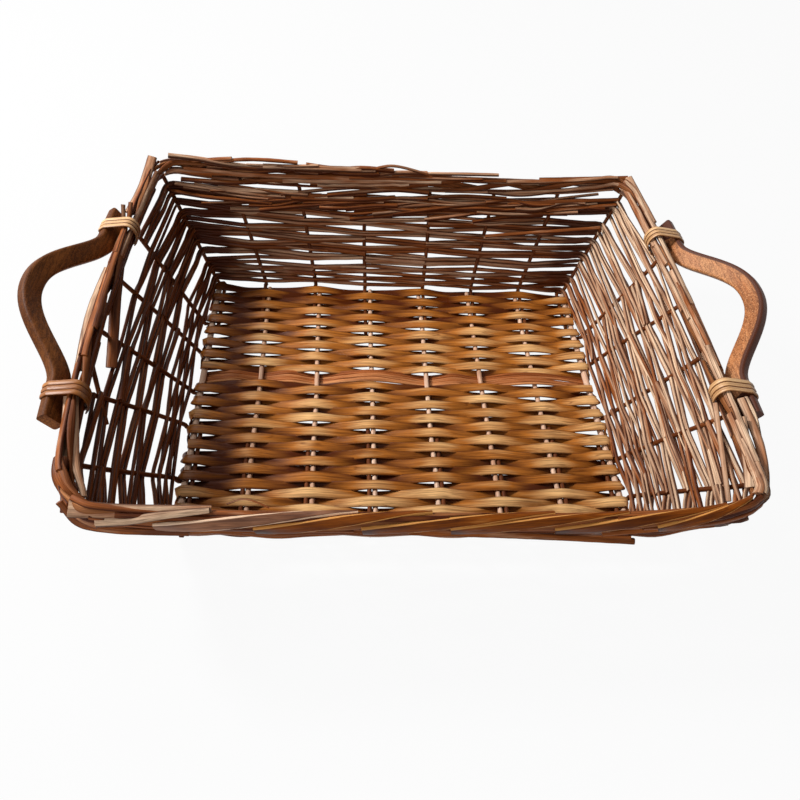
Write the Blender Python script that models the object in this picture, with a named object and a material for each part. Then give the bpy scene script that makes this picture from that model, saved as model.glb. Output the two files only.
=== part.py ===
"""A flat tray basket of woven willow with two bentwood ear handles.

The basket is made as a basket maker makes it: base sticks, split willow woven to and
fro across them, stakes pushed in beside the sticks and bent up, rods woven round the
stakes in pairs, a border of the stakes' own ends laid round the rim as a three-strand
rope, and two handles bound to the border with flat cane.

Metres, +Z up. The origin is under the middle of the base, on the surface that the
basket stands on. +X runs along the tray and +Y points to its back wall.
"""

import math

import bmesh
import bpy
from mathutils import Matrix, Vector

# Clearance between two pieces that touch on the real basket
SEAT_GAP = 0.0004

# Base sticks, which run from front to back
STICK_COUNT = 8
STICK_DIAMETER = 0.0046
EDGE_STICK_DIAMETER = 0.0060
EDGE_STICK_SPAN = 0.3556

# Split willow that is woven to and fro across the base sticks
STRIP_WIDTH = 0.0072
STRIP_THICKNESS = 0.0022
STRIP_TAIL = 0.0015
EDGE_STICK_FLAT = 0.6
STICK_FLAT = 1.5
ROW_PITCH = 0.0080
ROWS_PER_WEAVER = 5
FRONT_WEAVERS = 4
BACK_WEAVERS = 3

# Thin rods that lie under the sticks in one band along the base
CENTRE_ROD_COUNT = 3
CENTRE_ROD_DIAMETER = 0.0022
CENTRE_ROD_PITCH = 0.0034
CENTRE_ROD_ROOM = 0.0015

# Stakes: their feet, uprights and border ends
STAKE_DIAMETER = 0.0042
STAKE_TIP_DIAMETER = 0.0028
TIP_DEPTH = 0.0036
FRONT_FOOT_LENGTH = 0.1080
BACK_FOOT_LENGTH = 0.0640
FOOT_STEP = 0.0140
KNEE_REACH = 0.0050
END_STAKES = 5
LEFT_STAKE_SPACING = 0.0637
RIGHT_STAKE_SPACING = 0.0625
LEFT_STAKE_LEAN = 0.0230
RIGHT_STAKE_LEAN = 0.0395
LEFT_FOOT_LEAN = 0.0
RIGHT_FOOT_LEAN = 0.0220

# Rim and walls: the ends of the rim bow outward and its long sides sag
RIM_LENGTH = 0.4600
RIM_WIDTH = 0.3900
RIM_CORNER_RADIUS = 0.0180
WALL_HEIGHT = 0.1060
LEFT_END_BOW = 0.0095
RIGHT_END_BOW = 0.0045
BOW_POWER = 2
FRONT_SAG = 0.0120
BACK_SAG = 0.0090
SAG_POWER = 4

# Rope border, an oval of three strands
BORDER_HALF_WIDTH = 0.0046
BORDER_HALF_HEIGHT = 0.0070
BORDER_ROD_DIAMETER = 0.0054
BEND_DROP = 0.0012
BEND_STEP = 0.02
UPRIGHT_DROP = 0.0050
STRANDS = 3
STRAND_STEPS = 3
STRAND_END = 2.93

# Round rods that are woven round the stakes
WEAVER_DIAMETER = 0.0034
TIGHT_GAP = 0.0004
LOWER_TURNS = 2.0
OPEN_TURNS = 3.0
UPPER_TURNS = 1.5
ZONE_GAP = 0.0060
UPPER_CLEARANCE = 0.0016
CORNER_SWING = 0.75
CORNER_STAND = 1.12

# Bentwood handles
HANDLE_WIDTH = 0.0165
HANDLE_THICKNESS = 0.0085
HANDLE_CORNER = 0.0018
HANDLE_REACH = 0.0380
HANDLE_FOOT_END = 0.1180
HANDLE_ARCH_POWER = 2.2
HANDLE_SHOULDER_POWER = 2.1
LEFT_HANDLE_SHIFT = -0.0060
RIGHT_HANDLE_SHIFT = 0.0060
HANDLE_RISE_ANGLE = math.radians(33.0)
HANDLE_ROLL_ANGLE = math.radians(22.0)
HANDLE_FOOT_SLIDE = 0.0080
HANDLE_RINGS = 20

# Flat cane that binds the handles to the border
CANE_WIDTH = 0.0040
CANE_THICKNESS = 0.0012
CANE_GAP = 0.0006
LASHING_TURNS = 3
LASHING_SIDES = 12
LASHING_CORNER_STAND = 1.35
LASHING_CENTRE = 0.0950

# Sides of the faceted rods
STICK_SIDES = 6
EDGE_STICK_SIDES = 10
STAKE_SIDES = 5
WEAVER_SIDES = 4

# Sizes worked out from the ones above
STICK_RADIUS = STICK_DIAMETER / 2
EDGE_STICK_RADIUS = EDGE_STICK_DIAMETER / 2
STAKE_RADIUS = STAKE_DIAMETER / 2
WEAVER_RADIUS = WEAVER_DIAMETER / 2
BORDER_ROD_RADIUS = BORDER_ROD_DIAMETER / 2
CENTRE_BAND = (CENTRE_ROD_COUNT - 1) * CENTRE_ROD_PITCH + CENTRE_ROD_DIAMETER + CENTRE_ROD_ROOM
FRONT_ROWS = FRONT_WEAVERS * ROWS_PER_WEAVER
BACK_ROWS = BACK_WEAVERS * ROWS_PER_WEAVER
BASE_DEPTH = (FRONT_ROWS + BACK_ROWS) * ROW_PITCH + CENTRE_BAND
BASE_FRONT = -BASE_DEPTH / 2
BAND_FRONT = BASE_FRONT + FRONT_ROWS * ROW_PITCH
EDGE_LIFT = EDGE_STICK_RADIUS + SEAT_GAP + STRIP_THICKNESS / 2
STICK_HEIGHT = EDGE_LIFT + STRIP_THICKNESS / 2
BASE_TOP = STICK_HEIGHT + EDGE_LIFT + STRIP_THICKNESS / 2
STICK_SPACING = EDGE_STICK_SPAN / (STICK_COUNT - 1)
ROW_EDGE = BASE_DEPTH / 2 - (ROW_PITCH - STRIP_WIDTH) / 2
FOOT_OFFSET = STICK_RADIUS + SEAT_GAP + STAKE_RADIUS
EDGE_FOOT_OFFSET = EDGE_STICK_RADIUS + SEAT_GAP + STAKE_RADIUS
KNEE_HEIGHT = BASE_TOP
BORDER_HEIGHT = STICK_HEIGHT + WALL_HEIGHT
UPRIGHT_TOP = BORDER_HEIGHT - BORDER_HALF_HEIGHT - UPRIGHT_DROP
WALL_SPLAY = math.atan2((RIM_WIDTH - BASE_DEPTH) / 2, UPRIGHT_TOP - BASE_TOP)
TIGHT_PITCH = (WEAVER_DIAMETER + TIGHT_GAP) * math.cos(WALL_SPLAY)
CANE_PITCH = CANE_WIDTH + CANE_GAP
LASHING_LENGTH = LASHING_TURNS * CANE_PITCH + CANE_WIDTH
HANDLE_HALF_SPAN = LASHING_CENTRE - LASHING_LENGTH / 2 - CANE_WIDTH / 2
STAKE_COUNT = 2 * STICK_COUNT + 2 * END_STAKES
CORNERS = (0, STICK_COUNT - 1, STICK_COUNT + END_STAKES, 2 * STICK_COUNT + END_STAKES - 1)

UP = Vector((0.0, 0.0, 1.0))


def clear_scene():
    """Removes every object that the scene starts with."""
    for obj in list(bpy.data.objects):
        bpy.data.objects.remove(obj, do_unlink=True)


def wood(name, colour, roughness):
    """A plain wood material."""
    material = bpy.data.materials.new(name)
    material.use_nodes = True
    shader = material.node_tree.nodes["Principled BSDF"]
    shader.inputs["Base Color"].default_value = (*colour, 1.0)
    shader.inputs["Roughness"].default_value = roughness
    shader.inputs["Metallic"].default_value = 0.0
    return material


def add_object(name, mesh, material, smooth_angle=None):
    """Puts a mesh in the scene as a named object with its own copy of the material."""
    own = material.copy()
    own.name = name + "_wood"
    mesh.materials.append(own)
    if smooth_angle is not None:
        mesh.shade_smooth()
        mesh.set_sharp_from_angle(angle=smooth_angle)
    obj = bpy.data.objects.new(name, mesh)
    bpy.context.scene.collection.objects.link(obj)
    return obj


def skin(name, rings):
    """A closed mesh through a list of rings, each a list with the same number of points."""
    shape = bmesh.new()
    loops = [[shape.verts.new(point) for point in ring] for ring in rings]
    sides = len(rings[0])
    for near, far in zip(loops, loops[1:]):
        for side in range(sides):
            after = (side + 1) % sides
            shape.faces.new((near[side], near[after], far[after], far[side]))
    shape.faces.new(reversed(loops[0]))
    shape.faces.new(loops[-1])
    bmesh.ops.recalc_face_normals(shape, faces=shape.faces)
    mesh = bpy.data.meshes.new(name)
    shape.to_mesh(mesh)
    shape.free()
    return mesh


def directions(path):
    """The direction of travel at each point of a path, halfway between its two runs."""
    runs = [(b - a).normalized() for a, b in zip(path, path[1:])]
    middle = [(a + b).normalized() for a, b in zip(runs, runs[1:])]
    return [runs[0], *middle, runs[-1]]


def rod_mesh(name, path, radii, sides, first_side=UP):
    """A rod of round section along a path, with a radius for each point."""
    rings = []
    side = first_side
    for point, along, radius in zip(path, directions(path), radii):
        side = (side - along * side.dot(along)).normalized()
        across = along.cross(side)
        ring = []
        for step in range(sides):
            angle = 2 * math.pi * (step + 0.5) / sides
            ring.append(point + radius * (math.cos(angle) * side + math.sin(angle) * across))
        rings.append(ring)
    return skin(name, rings)


def strip_mesh(name, path, width, thickness):
    """A flat strip along a path, its width always along Y."""
    rings = []
    for point, along in zip(path, directions(path)):
        travel = Vector((along.x, 0.0, along.z)).normalized()
        face = Vector((-travel.z, 0.0, travel.x)) * thickness / 2
        edge = Vector((0.0, width / 2, 0.0))
        near, far = point - face, point + face
        rings.append([near - edge, near + edge, far + edge, far - edge])
    return skin(name, rings)


def stick_x(stick):
    """The place of a base stick along the tray."""
    return -EDGE_STICK_SPAN / 2 + stick * STICK_SPACING


def is_edge(stick):
    """Whether a base stick is one of the two at the ends of the tray."""
    return stick in (0, STICK_COUNT - 1)


def foot_side(stick):
    """-1 or 1: the side of a base stick that the feet of the stakes lie on."""
    outward = -1 if stick < STICK_COUNT / 2 else 1
    return -outward if is_edge(stick) else outward


def row_y(row):
    """The middle of a row of split willow, counted from the front edge of the base."""
    band = CENTRE_BAND if row >= FRONT_ROWS else 0.0
    return BASE_FRONT + (row + 0.5) * ROW_PITCH + band


def crossing(stick, row, travel):
    """The two points where a strip passes over or under a stick and the foot beside it."""
    over = 1 if (stick + row) % 2 == 0 else -1
    radius = EDGE_STICK_RADIUS if is_edge(stick) else STICK_RADIUS
    height = STICK_HEIGHT + over * (radius + SEAT_GAP + STRIP_THICKNESS / 2)
    bare = EDGE_STICK_FLAT * EDGE_STICK_RADIUS if is_edge(stick) else STICK_FLAT * STICK_RADIUS
    covered = radius + SEAT_GAP + STAKE_DIAMETER + STICK_RADIUS / 2
    low, high = (covered, bare) if foot_side(stick) < 0 else (bare, covered)
    ends = [stick_x(stick) - low, stick_x(stick) + high]
    return [Vector((x, row_y(row), height)) for x in ends[::travel]]


def turn(row, travel):
    """The two points where a strip turns round the outermost stick into the next row."""
    over = 1 if (((STICK_COUNT - 1) if travel > 0 else 0) + row) % 2 == 0 else -1
    x = travel * (EDGE_STICK_SPAN / 2 + EDGE_LIFT)
    lift = over * EDGE_STICK_FLAT * EDGE_STICK_RADIUS
    step = (row_y(row + 1) - row_y(row)) / 3
    return [
        Vector((x, row_y(row) + step, STICK_HEIGHT + lift)),
        Vector((x, row_y(row) + 2 * step, STICK_HEIGHT - lift)),
    ]


def base_weaver_path(first_row):
    """One strip woven to and fro through its rows."""
    path = []
    for count in range(ROWS_PER_WEAVER):
        row = first_row + count
        travel = 1 if count % 2 == 0 else -1
        for stick in range(STICK_COUNT)[::travel]:
            path += crossing(stick, row, travel)
        if count < ROWS_PER_WEAVER - 1:
            path += turn(row, travel)
    tail = Vector((STRIP_TAIL, 0.0, 0.0))
    last = 1 if ROWS_PER_WEAVER % 2 == 1 else -1
    path[0] = path[0] - tail
    path[-1] = path[-1] + last * tail
    return path


def slot_rows(side):
    """The rows after which no strip turns round the outermost stick of one end."""
    slots = []
    for row in range(FRONT_ROWS + BACK_ROWS - 1):
        count = row % ROWS_PER_WEAVER
        turns_right = count % 2 == 0
        free = count == ROWS_PER_WEAVER - 1 or turns_right != (side > 0)
        if free and row != FRONT_ROWS - 1:
            slots.append(row)
    return slots


def end_stake_y(side, number):
    """The place of an end stake's tip: the free slot that is nearest to an even spacing."""
    lean = RIGHT_FOOT_LEAN if side > 0 else LEFT_FOOT_LEAN
    wanted = -BASE_DEPTH / 2 + (number + 1) * BASE_DEPTH / (END_STAKES + 1) - lean
    places = [(row_y(row) + row_y(row + 1)) / 2 for row in slot_rows(side)]
    return min(places, key=lambda place: abs(place - wanted))


def end_bow(side, y):
    """How far an end of the rim bows outward at a place along it."""
    bow = RIGHT_END_BOW if side > 0 else LEFT_END_BOW
    return bow * max(1.0 - (y / (RIM_WIDTH / 2 - RIM_CORNER_RADIUS)) ** BOW_POWER, 0.0)


def side_sag(side, x):
    """How far a long side of the rim hangs below its corners at a place along it."""
    sag = BACK_SAG if side > 0 else FRONT_SAG
    return sag * max(1.0 - (x / (RIM_LENGTH / 2 - RIM_CORNER_RADIUS)) ** SAG_POWER, 0.0)


def rim_sides():
    """The straight and curved stretches of the rim, in order, as (length, start, heading)."""
    half_x = RIM_LENGTH / 2 - RIM_CORNER_RADIUS
    half_y = RIM_WIDTH / 2 - RIM_CORNER_RADIUS
    corners = [(half_x, -half_y), (half_x, half_y), (-half_x, half_y), (-half_x, -half_y)]
    lengths = [2 * half_x, 2 * half_y, 2 * half_x, 2 * half_y]
    return list(zip(lengths, corners, range(4)))


def rim_point(distance):
    """A point on the rim's middle line, its height counted from the corners, and its outward direction."""
    arc = RIM_CORNER_RADIUS * math.pi / 2
    sides = rim_sides()
    distance %= sum(length + arc for length, _, _ in sides)
    for length, corner, quarter in sides:
        heading = quarter * math.pi / 2
        if distance < length:
            outward = Vector((math.sin(heading), -math.cos(heading), 0.0))
            along = Vector((math.cos(heading), math.sin(heading), 0.0))
            start = Vector((*corner, 0.0)) - along * length
            point = start + along * distance + outward * RIM_CORNER_RADIUS
            if quarter % 2 == 0:
                return point - UP * side_sag(outward.y, point.x), outward
            return point + outward * end_bow(outward.x, point.y), outward
        distance -= length
        if distance < arc:
            heading += distance / RIM_CORNER_RADIUS
            outward = Vector((math.sin(heading), -math.cos(heading), 0.0))
            return Vector((*corner, 0.0)) + outward * RIM_CORNER_RADIUS, outward
        distance -= arc
    raise ValueError("distance is off the rim")


def stake_distances():
    """How far along the rim each stake stands, from the front left corner round to it again.

    The end stakes lean towards the front, and the two ends lean by different amounts.
    """
    arc = RIM_CORNER_RADIUS * math.pi / 2
    places = []
    start = -arc / 2
    for length, _, quarter in rim_sides():
        intervals = STICK_COUNT - 1 if quarter % 2 == 0 else END_STAKES + 1
        whole = length + arc
        right = (RIGHT_STAKE_SPACING, -RIGHT_STAKE_LEAN)
        left = (LEFT_STAKE_SPACING, LEFT_STAKE_LEAN)
        spacing, lean = {1: right, 3: left}.get(quarter, (whole / intervals, 0.0))
        middle = start + whole / 2 + lean
        places.append(start)
        places += [middle + spacing * (number - intervals / 2) for number in range(1, intervals)]
        start += whole
    return [*places, start]


STAKE_DISTANCES = stake_distances()


def rim_at(index):
    """A rim point and its outward direction from a stake number, which may have a fraction."""
    whole = math.floor(index)
    lap = STAKE_DISTANCES[-1] - STAKE_DISTANCES[0]
    turns, number = divmod(whole, STAKE_COUNT)
    low, high = STAKE_DISTANCES[number], STAKE_DISTANCES[number + 1]
    return rim_point(low + (high - low) * (index - whole) + turns * lap)


def stake_kind(index):
    """The wall that a stake stands in, and its number in that wall from the left or the front."""
    if index < STICK_COUNT:
        return "front", index
    index -= STICK_COUNT
    if index < END_STAKES:
        return "right", index
    index -= END_STAKES
    if index < STICK_COUNT:
        return "back", STICK_COUNT - 1 - index
    return "left", END_STAKES - 1 - (index - STICK_COUNT)


def stake_start(index):
    """The points of a stake's foot, from its hidden end to the knee where it turns up."""
    wall, number = stake_kind(index)
    if wall in ("left", "right"):
        side = 1 if wall == "right" else -1
        y = end_stake_y(side, number)
        edge = EDGE_STICK_SPAN / 2
        hole = edge + EDGE_STICK_RADIUS
        outside = edge + EDGE_LIFT + STRIP_THICKNESS / 2 + SEAT_GAP + STAKE_RADIUS
        reach = [hole - TIP_DEPTH, hole, outside - 0.2 * KNEE_REACH, outside + 0.3 * KNEE_REACH]
        rise = [0.0, 0.0, 0.25 * KNEE_REACH, KNEE_HEIGHT - STICK_HEIGHT]
        return [Vector((side * x, y, STICK_HEIGHT + z)) for x, z in zip(reach, rise)]
    side = 1 if wall == "back" else -1
    length = BACK_FOOT_LENGTH if side > 0 else FRONT_FOOT_LENGTH
    length -= FOOT_STEP * (number % 3)
    beside = EDGE_FOOT_OFFSET if is_edge(number) else FOOT_OFFSET
    x = stick_x(number) + foot_side(number) * beside
    shift = -foot_side(number) * EDGE_FOOT_OFFSET if is_edge(number) else 0.0
    knee = [(0.2, 0.0, 0.0), (0.8, 0.3 * KNEE_REACH, 0.6), (1.15, KNEE_HEIGHT - STICK_HEIGHT, 1.5)]
    foot = [Vector((x, side * (ROW_EDGE - length), STICK_HEIGHT))]
    for out, rise, lean in knee:
        foot.append(Vector((x + lean * shift, side * (ROW_EDGE + out * KNEE_REACH), STICK_HEIGHT + rise)))
    return foot


def upright_point(index, height):
    """The middle of a stake's straight upright at a height."""
    index %= STAKE_COUNT
    knee = stake_start(index)[-1]
    top, _ = rim_at(index)
    top.z += UPRIGHT_TOP
    return knee.lerp(top, (height - KNEE_HEIGHT) / (UPRIGHT_TOP - KNEE_HEIGHT))


def strand_point(index, age):
    """A stake end's place in the rope border, its age counted in stakes passed."""
    middle, outward = rim_at(index + age)
    angle = -math.pi / 2 + age * 2 * math.pi / STRANDS
    middle.z += BORDER_HEIGHT
    aside = outward * BORDER_HALF_WIDTH * math.cos(angle)
    return middle + aside + UP * BORDER_HALF_HEIGHT * math.sin(angle)


def stake_path(index):
    """The whole stake: foot, knee, upright, and its end laid along the border."""
    foot = stake_start(index)
    upright = [upright_point(index, UPRIGHT_TOP)]
    bend = rim_at(index + BEND_STEP)[0]
    bend.z += BORDER_HEIGHT - BORDER_HALF_HEIGHT - BEND_DROP
    ages = [(step + 0.5) / STRAND_STEPS for step in range(STRANDS * STRAND_STEPS)] + [STRAND_END]
    border = [strand_point(index, age) for age in ages]
    path = [*foot, *upright, bend, *border]
    radii = [STAKE_RADIUS] * (len(foot) + 1) + [BORDER_ROD_RADIUS] * (len(border) + 1)
    if stake_kind(index)[0] in ("left", "right"):
        radii[0] = radii[1] = STAKE_TIP_DIAMETER / 2
    return path, radii


def weaver_offset(index):
    """How far the middle of a wall weaver stands from the middle of a stake."""
    lean = upright_point(index, UPRIGHT_TOP) - upright_point(index, KNEE_HEIGHT)
    splay = math.atan2(math.hypot(lean.x, lean.y), lean.z)
    return (STAKE_RADIUS + WEAVER_RADIUS + SEAT_GAP) / math.cos(splay)


def weaver_path(first, turns, height, pitch, parity):
    """A rod woven round the walls, before one stake and behind the next, rising as it goes."""
    path = []
    for step in range(int(turns * STAKE_COUNT) + 1):
        index = (first + step) % STAKE_COUNT
        side = 1 if (index + parity) % 2 == 0 else -1
        level = height + pitch * step / STAKE_COUNT
        post = upright_point(index, level)
        _, outward = rim_at(index)
        offset = weaver_offset(index)
        if index in CORNERS and side > 0:
            ahead = Vector((-outward.y, outward.x, 0.0))
            for swing in (-1, 1):
                aim = (outward + swing * ahead * CORNER_SWING).normalized()
                path.append(post + aim * offset * CORNER_STAND)
        else:
            path.append(post + outward * side * offset)
    return path


def handle_frame(side):
    """The outward and the upward direction of a handle's slanting plane."""
    out = Vector((side * math.cos(HANDLE_RISE_ANGLE), 0.0, math.sin(HANDLE_RISE_ANGLE)))
    up = Vector((-side * math.sin(HANDLE_RISE_ANGLE), 0.0, math.cos(HANDLE_RISE_ANGLE)))
    return out, up


def section_axes(out, up):
    """The wide and the thin direction of a handle's section, rolled from its plane."""
    wide = out * math.cos(HANDLE_ROLL_ANGLE) + up * math.sin(HANDLE_ROLL_ANGLE)
    thin = out * math.sin(HANDLE_ROLL_ANGLE) - up * math.cos(HANDLE_ROLL_ANGLE)
    return wide, thin


def border_support(direction):
    """How far the border reaches from its middle in a direction."""
    half_width = BORDER_HALF_WIDTH + BORDER_ROD_RADIUS
    half_height = BORDER_HALF_HEIGHT + BORDER_ROD_RADIUS
    return math.hypot(half_width * direction.x, half_height * direction.z)


def handle_shift(side):
    """How far a handle sits from the middle of its end of the tray."""
    return RIGHT_HANDLE_SHIFT if side > 0 else LEFT_HANDLE_SHIFT


def handle_foot(side, y):
    """The middle of a handle's foot, which leans on the outer side of the border."""
    wide, thin = section_axes(*handle_frame(side))
    border = Vector((side * (RIM_LENGTH / 2 + end_bow(side, y)), y, BORDER_HEIGHT))
    clear = border_support(thin) + SEAT_GAP + HANDLE_THICKNESS / 2
    return border + thin * clear + wide * HANDLE_FOOT_SLIDE


def handle_arch(y):
    """How far the handle stands out from its feet at a place along its span."""
    share = min(abs(y) / HANDLE_HALF_SPAN, 1.0)
    return HANDLE_REACH * (1.0 - share**HANDLE_ARCH_POWER) ** HANDLE_SHOULDER_POWER


def handle_section(wide, thin):
    """A rectangle with its corners cut off."""
    half_w = HANDLE_WIDTH / 2
    half_t = HANDLE_THICKNESS / 2
    cut = HANDLE_CORNER
    corners = []
    for a, b in ((1, 1), (-1, 1), (-1, -1), (1, -1)):
        near = [(a * half_w, b * (half_t - cut)), (a * (half_w - cut), b * half_t)]
        corners += near if a * b > 0 else near[::-1]
    return [wide * w + thin * t for w, t in corners]


def handle_mesh(name, side):
    """A flat wooden bow with two straight feet."""
    out, up = handle_frame(side)
    steps = HANDLE_RINGS // 2
    bow = [HANDLE_HALF_SPAN * step / steps for step in range(steps + 1)]
    half = [*bow, HANDLE_HALF_SPAN + CANE_WIDTH / 2, LASHING_CENTRE, HANDLE_FOOT_END]
    places = [-y for y in half[:0:-1]] + half
    path = [handle_foot(side, handle_shift(side) + y) + out * handle_arch(y) for y in places]
    rings = []
    for point, along in zip(path, directions(path)):
        wide, thin = section_axes(along.cross(up) * side, up)
        rings.append([point + corner for corner in handle_section(wide, thin)])
    return skin(name, rings)


def hull(points):
    """The convex outline of points in a plane, going round anticlockwise."""
    ordered = sorted(points)
    outline = []
    for run in (ordered, ordered[::-1]):
        chain = []
        for point in run:
            while len(chain) > 1:
                (ax, az), (bx, bz) = chain[-2], chain[-1]
                if (bx - ax) * (point[1] - az) - (bz - az) * (point[0] - ax) > 0:
                    break
                chain.pop()
            chain.append(point)
        outline += chain[:-1]
    return outline


def lashing_outline(side, y):
    """The closed line that a lashing follows round the border and the handle's foot."""
    stand = SEAT_GAP + CANE_THICKNESS / 2
    points = []
    for step in range(LASHING_SIDES):
        angle = 2 * math.pi * (step + 0.5) / LASHING_SIDES
        half_width = BORDER_HALF_WIDTH + BORDER_ROD_RADIUS + stand
        half_height = BORDER_HALF_HEIGHT + BORDER_ROD_RADIUS + stand
        reach = 1.0 / math.cos(math.pi / LASHING_SIDES)
        x = half_width * reach * math.cos(angle)
        z = half_height * reach * math.sin(angle)
        points.append((side * (RIM_LENGTH / 2 + end_bow(side, y)) + x, BORDER_HEIGHT + z))
    foot = handle_foot(side, y)
    wide, thin = section_axes(*handle_frame(side))
    for corner in handle_section(wide, thin):
        away = corner.normalized() * stand * LASHING_CORNER_STAND
        points.append((foot.x + corner.x + away.x, foot.z + corner.z + away.z))
    return hull(points)


def lashing_path(side, middle):
    """A flat cane wound round the border and the foot, with straight ends."""
    outline = lashing_outline(side, middle)
    start = min(range(len(outline)), key=lambda i: outline[i][1] + side * outline[i][0])
    outline = outline[start:] + outline[:start]
    count = len(outline) * LASHING_TURNS + 1
    path = []
    for step in range(count):
        x, z = outline[step % len(outline)]
        y = middle + (step / (count - 1) - 0.5) * CANE_PITCH * LASHING_TURNS
        x += side * (end_bow(side, y) - end_bow(side, middle))
        path.append(Vector((x, y, z)))
    start_run = (path[0] - path[1]).normalized() * CANE_WIDTH
    end_run = (path[-1] - path[-2]).normalized() * CANE_WIDTH
    return [path[0] + start_run, *path, path[-1] + end_run]


def least_gap(path, turn_points):
    """The least gap between one turn of the cane and another, measured on its edge points."""
    gaps = []
    for early, here in enumerate(path):
        for there in path[early + turn_points // 2:]:
            flat = math.hypot(there.x - here.x, there.z - here.z)
            aside = max(abs(there.y - here.y) - CANE_WIDTH, 0.0)
            gaps.append(math.hypot(max(flat - CANE_THICKNESS, 0.0), aside))
    return min(gaps)


def pierce(stick, places, side):
    """Cuts the holes that the tips of the end stakes sit in."""
    radius = (STAKE_TIP_DIAMETER / 2 + SEAT_GAP) / math.cos(math.pi / STICK_SIDES)
    depth = 2 * EDGE_STICK_RADIUS
    shape = bmesh.new()
    for y in places:
        bottom = side * (EDGE_STICK_SPAN / 2 + EDGE_STICK_RADIUS - TIP_DEPTH - SEAT_GAP + depth / 2)
        turn_over = Matrix.Rotation(math.pi / 2, 4, "Y")
        place = Matrix.Translation((bottom, y, STICK_HEIGHT)) @ turn_over
        bmesh.ops.create_cone(
            shape,
            cap_ends=True,
            segments=STICK_SIDES,
            radius1=radius,
            radius2=radius,
            depth=depth,
            matrix=place,
        )
    mesh = bpy.data.meshes.new(stick.name + "_holes")
    shape.to_mesh(mesh)
    shape.free()
    cutter = bpy.data.objects.new(stick.name + "_holes", mesh)
    cutter.hide_render = True
    cutter.display_type = "WIRE"
    bpy.context.scene.collection.objects.link(cutter)
    cut = stick.modifiers.new("stake_holes", "BOOLEAN")
    cut.operation = "DIFFERENCE"
    cut.solver = "EXACT"
    cut.object = cutter


def build_base_sticks(material):
    """The sticks that carry the base, the outermost two thicker and pierced."""
    for number in range(STICK_COUNT):
        x = stick_x(number)
        edge = is_edge(number)
        radius = EDGE_STICK_RADIUS if edge else STICK_RADIUS
        sides = EDGE_STICK_SIDES if edge else STICK_SIDES
        ends = [Vector((x, -ROW_EDGE, STICK_HEIGHT)), Vector((x, ROW_EDGE, STICK_HEIGHT))]
        name = f"base_stick_{number + 1}"
        mesh = rod_mesh(name, ends, [radius, radius], sides)
        stick = add_object(name, mesh, material, math.radians(70))
        if edge:
            side = 1 if x > 0 else -1
            pierce(stick, [end_stake_y(side, place) for place in range(END_STAKES)], side)


def build_centre_rods(material):
    """The thin rods that lie under the sticks in a band along the base."""
    height = CENTRE_ROD_DIAMETER / 2
    reach = EDGE_STICK_SPAN / 2 + EDGE_LIFT
    middle = BAND_FRONT + CENTRE_BAND / 2
    for number in range(CENTRE_ROD_COUNT):
        y = middle + (number - (CENTRE_ROD_COUNT - 1) / 2) * CENTRE_ROD_PITCH
        ends = [Vector((-reach, y, height)), Vector((reach, y, height))]
        name = f"base_centre_rod_{number + 1}"
        radii = [CENTRE_ROD_DIAMETER / 2] * 2
        add_object(name, rod_mesh(name, ends, radii, STICK_SIDES), material, math.radians(70))


def build_base_weavers(material):
    """The split willow of the base, each strip woven through its own rows."""
    for number in range(FRONT_WEAVERS + BACK_WEAVERS):
        name = f"base_weaver_{number + 1}"
        path = base_weaver_path(number * ROWS_PER_WEAVER)
        add_object(name, strip_mesh(name, path, STRIP_WIDTH, STRIP_THICKNESS), material)


def build_stakes(material):
    """Every stake of the walls, from its foot in the base to its end in the border."""
    for index in range(STAKE_COUNT):
        wall, number = stake_kind(index)
        name = f"stake_{wall}_{number + 1}"
        path, radii = stake_path(index)
        _, outward = rim_at(index)
        mesh = rod_mesh(name, path, radii, STAKE_SIDES, outward.cross(UP))
        add_object(name, mesh, material, math.radians(80))


def build_wall_weavers(material):
    """The rods of the walls: close rows below, open pairs between, and close rows above."""
    half = STAKE_COUNT // 2
    lowest = BASE_TOP + SEAT_GAP + WEAVER_RADIUS
    open_start = lowest + 2 * LOWER_TURNS * TIGHT_PITCH + ZONE_GAP
    border_bottom = BORDER_HEIGHT - BORDER_HALF_HEIGHT - BORDER_ROD_RADIUS
    highest = border_bottom - CANE_THICKNESS - UPPER_CLEARANCE - WEAVER_RADIUS
    upper_start = highest - 2 * UPPER_TURNS * TIGHT_PITCH
    open_pitch = (upper_start - ZONE_GAP - open_start) / (2 * OPEN_TURNS)
    for number in range(2):
        parity = number
        first = number * half
        rows = (
            (f"wall_weaver_lower_{number + 1}", 0, LOWER_TURNS, lowest + number * TIGHT_PITCH, TIGHT_PITCH),
            (f"wall_weaver_open_{2 * number + 1}", first, OPEN_TURNS, open_start, open_pitch),
            (f"wall_weaver_open_{2 * number + 2}", first, OPEN_TURNS, open_start + TIGHT_PITCH, open_pitch),
            (f"wall_weaver_upper_{number + 1}", first, UPPER_TURNS, upper_start, TIGHT_PITCH),
        )
        for name, start, turns, height, pitch in rows:
            path = weaver_path(start, turns, height, 2 * pitch, parity)
            radii = [WEAVER_RADIUS] * len(path)
            mesh = rod_mesh(name, path, radii, WEAVER_SIDES)
            add_object(name, mesh, material, math.radians(100))


def build_handles(material):
    """The two bentwood ear handles."""
    for name, side in (("handle_left", -1), ("handle_right", 1)):
        add_object(name, handle_mesh(name, side), material, math.radians(35))


def build_lashings(material):
    """The four cane lashings that bind the handles to the border."""
    for end, side in (("left", -1), ("right", 1)):
        for place, reach in (("front", -LASHING_CENTRE), ("back", LASHING_CENTRE)):
            name = f"lashing_{end}_{place}"
            middle = handle_shift(side) + reach
            path = lashing_path(side, middle)
            gap = least_gap(path, len(lashing_outline(side, middle)))
            print(f"{name}: least gap to itself {gap * 1000:.2f} mm")
            add_object(name, strip_mesh(name, path, CANE_WIDTH, CANE_THICKNESS), material)


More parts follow.
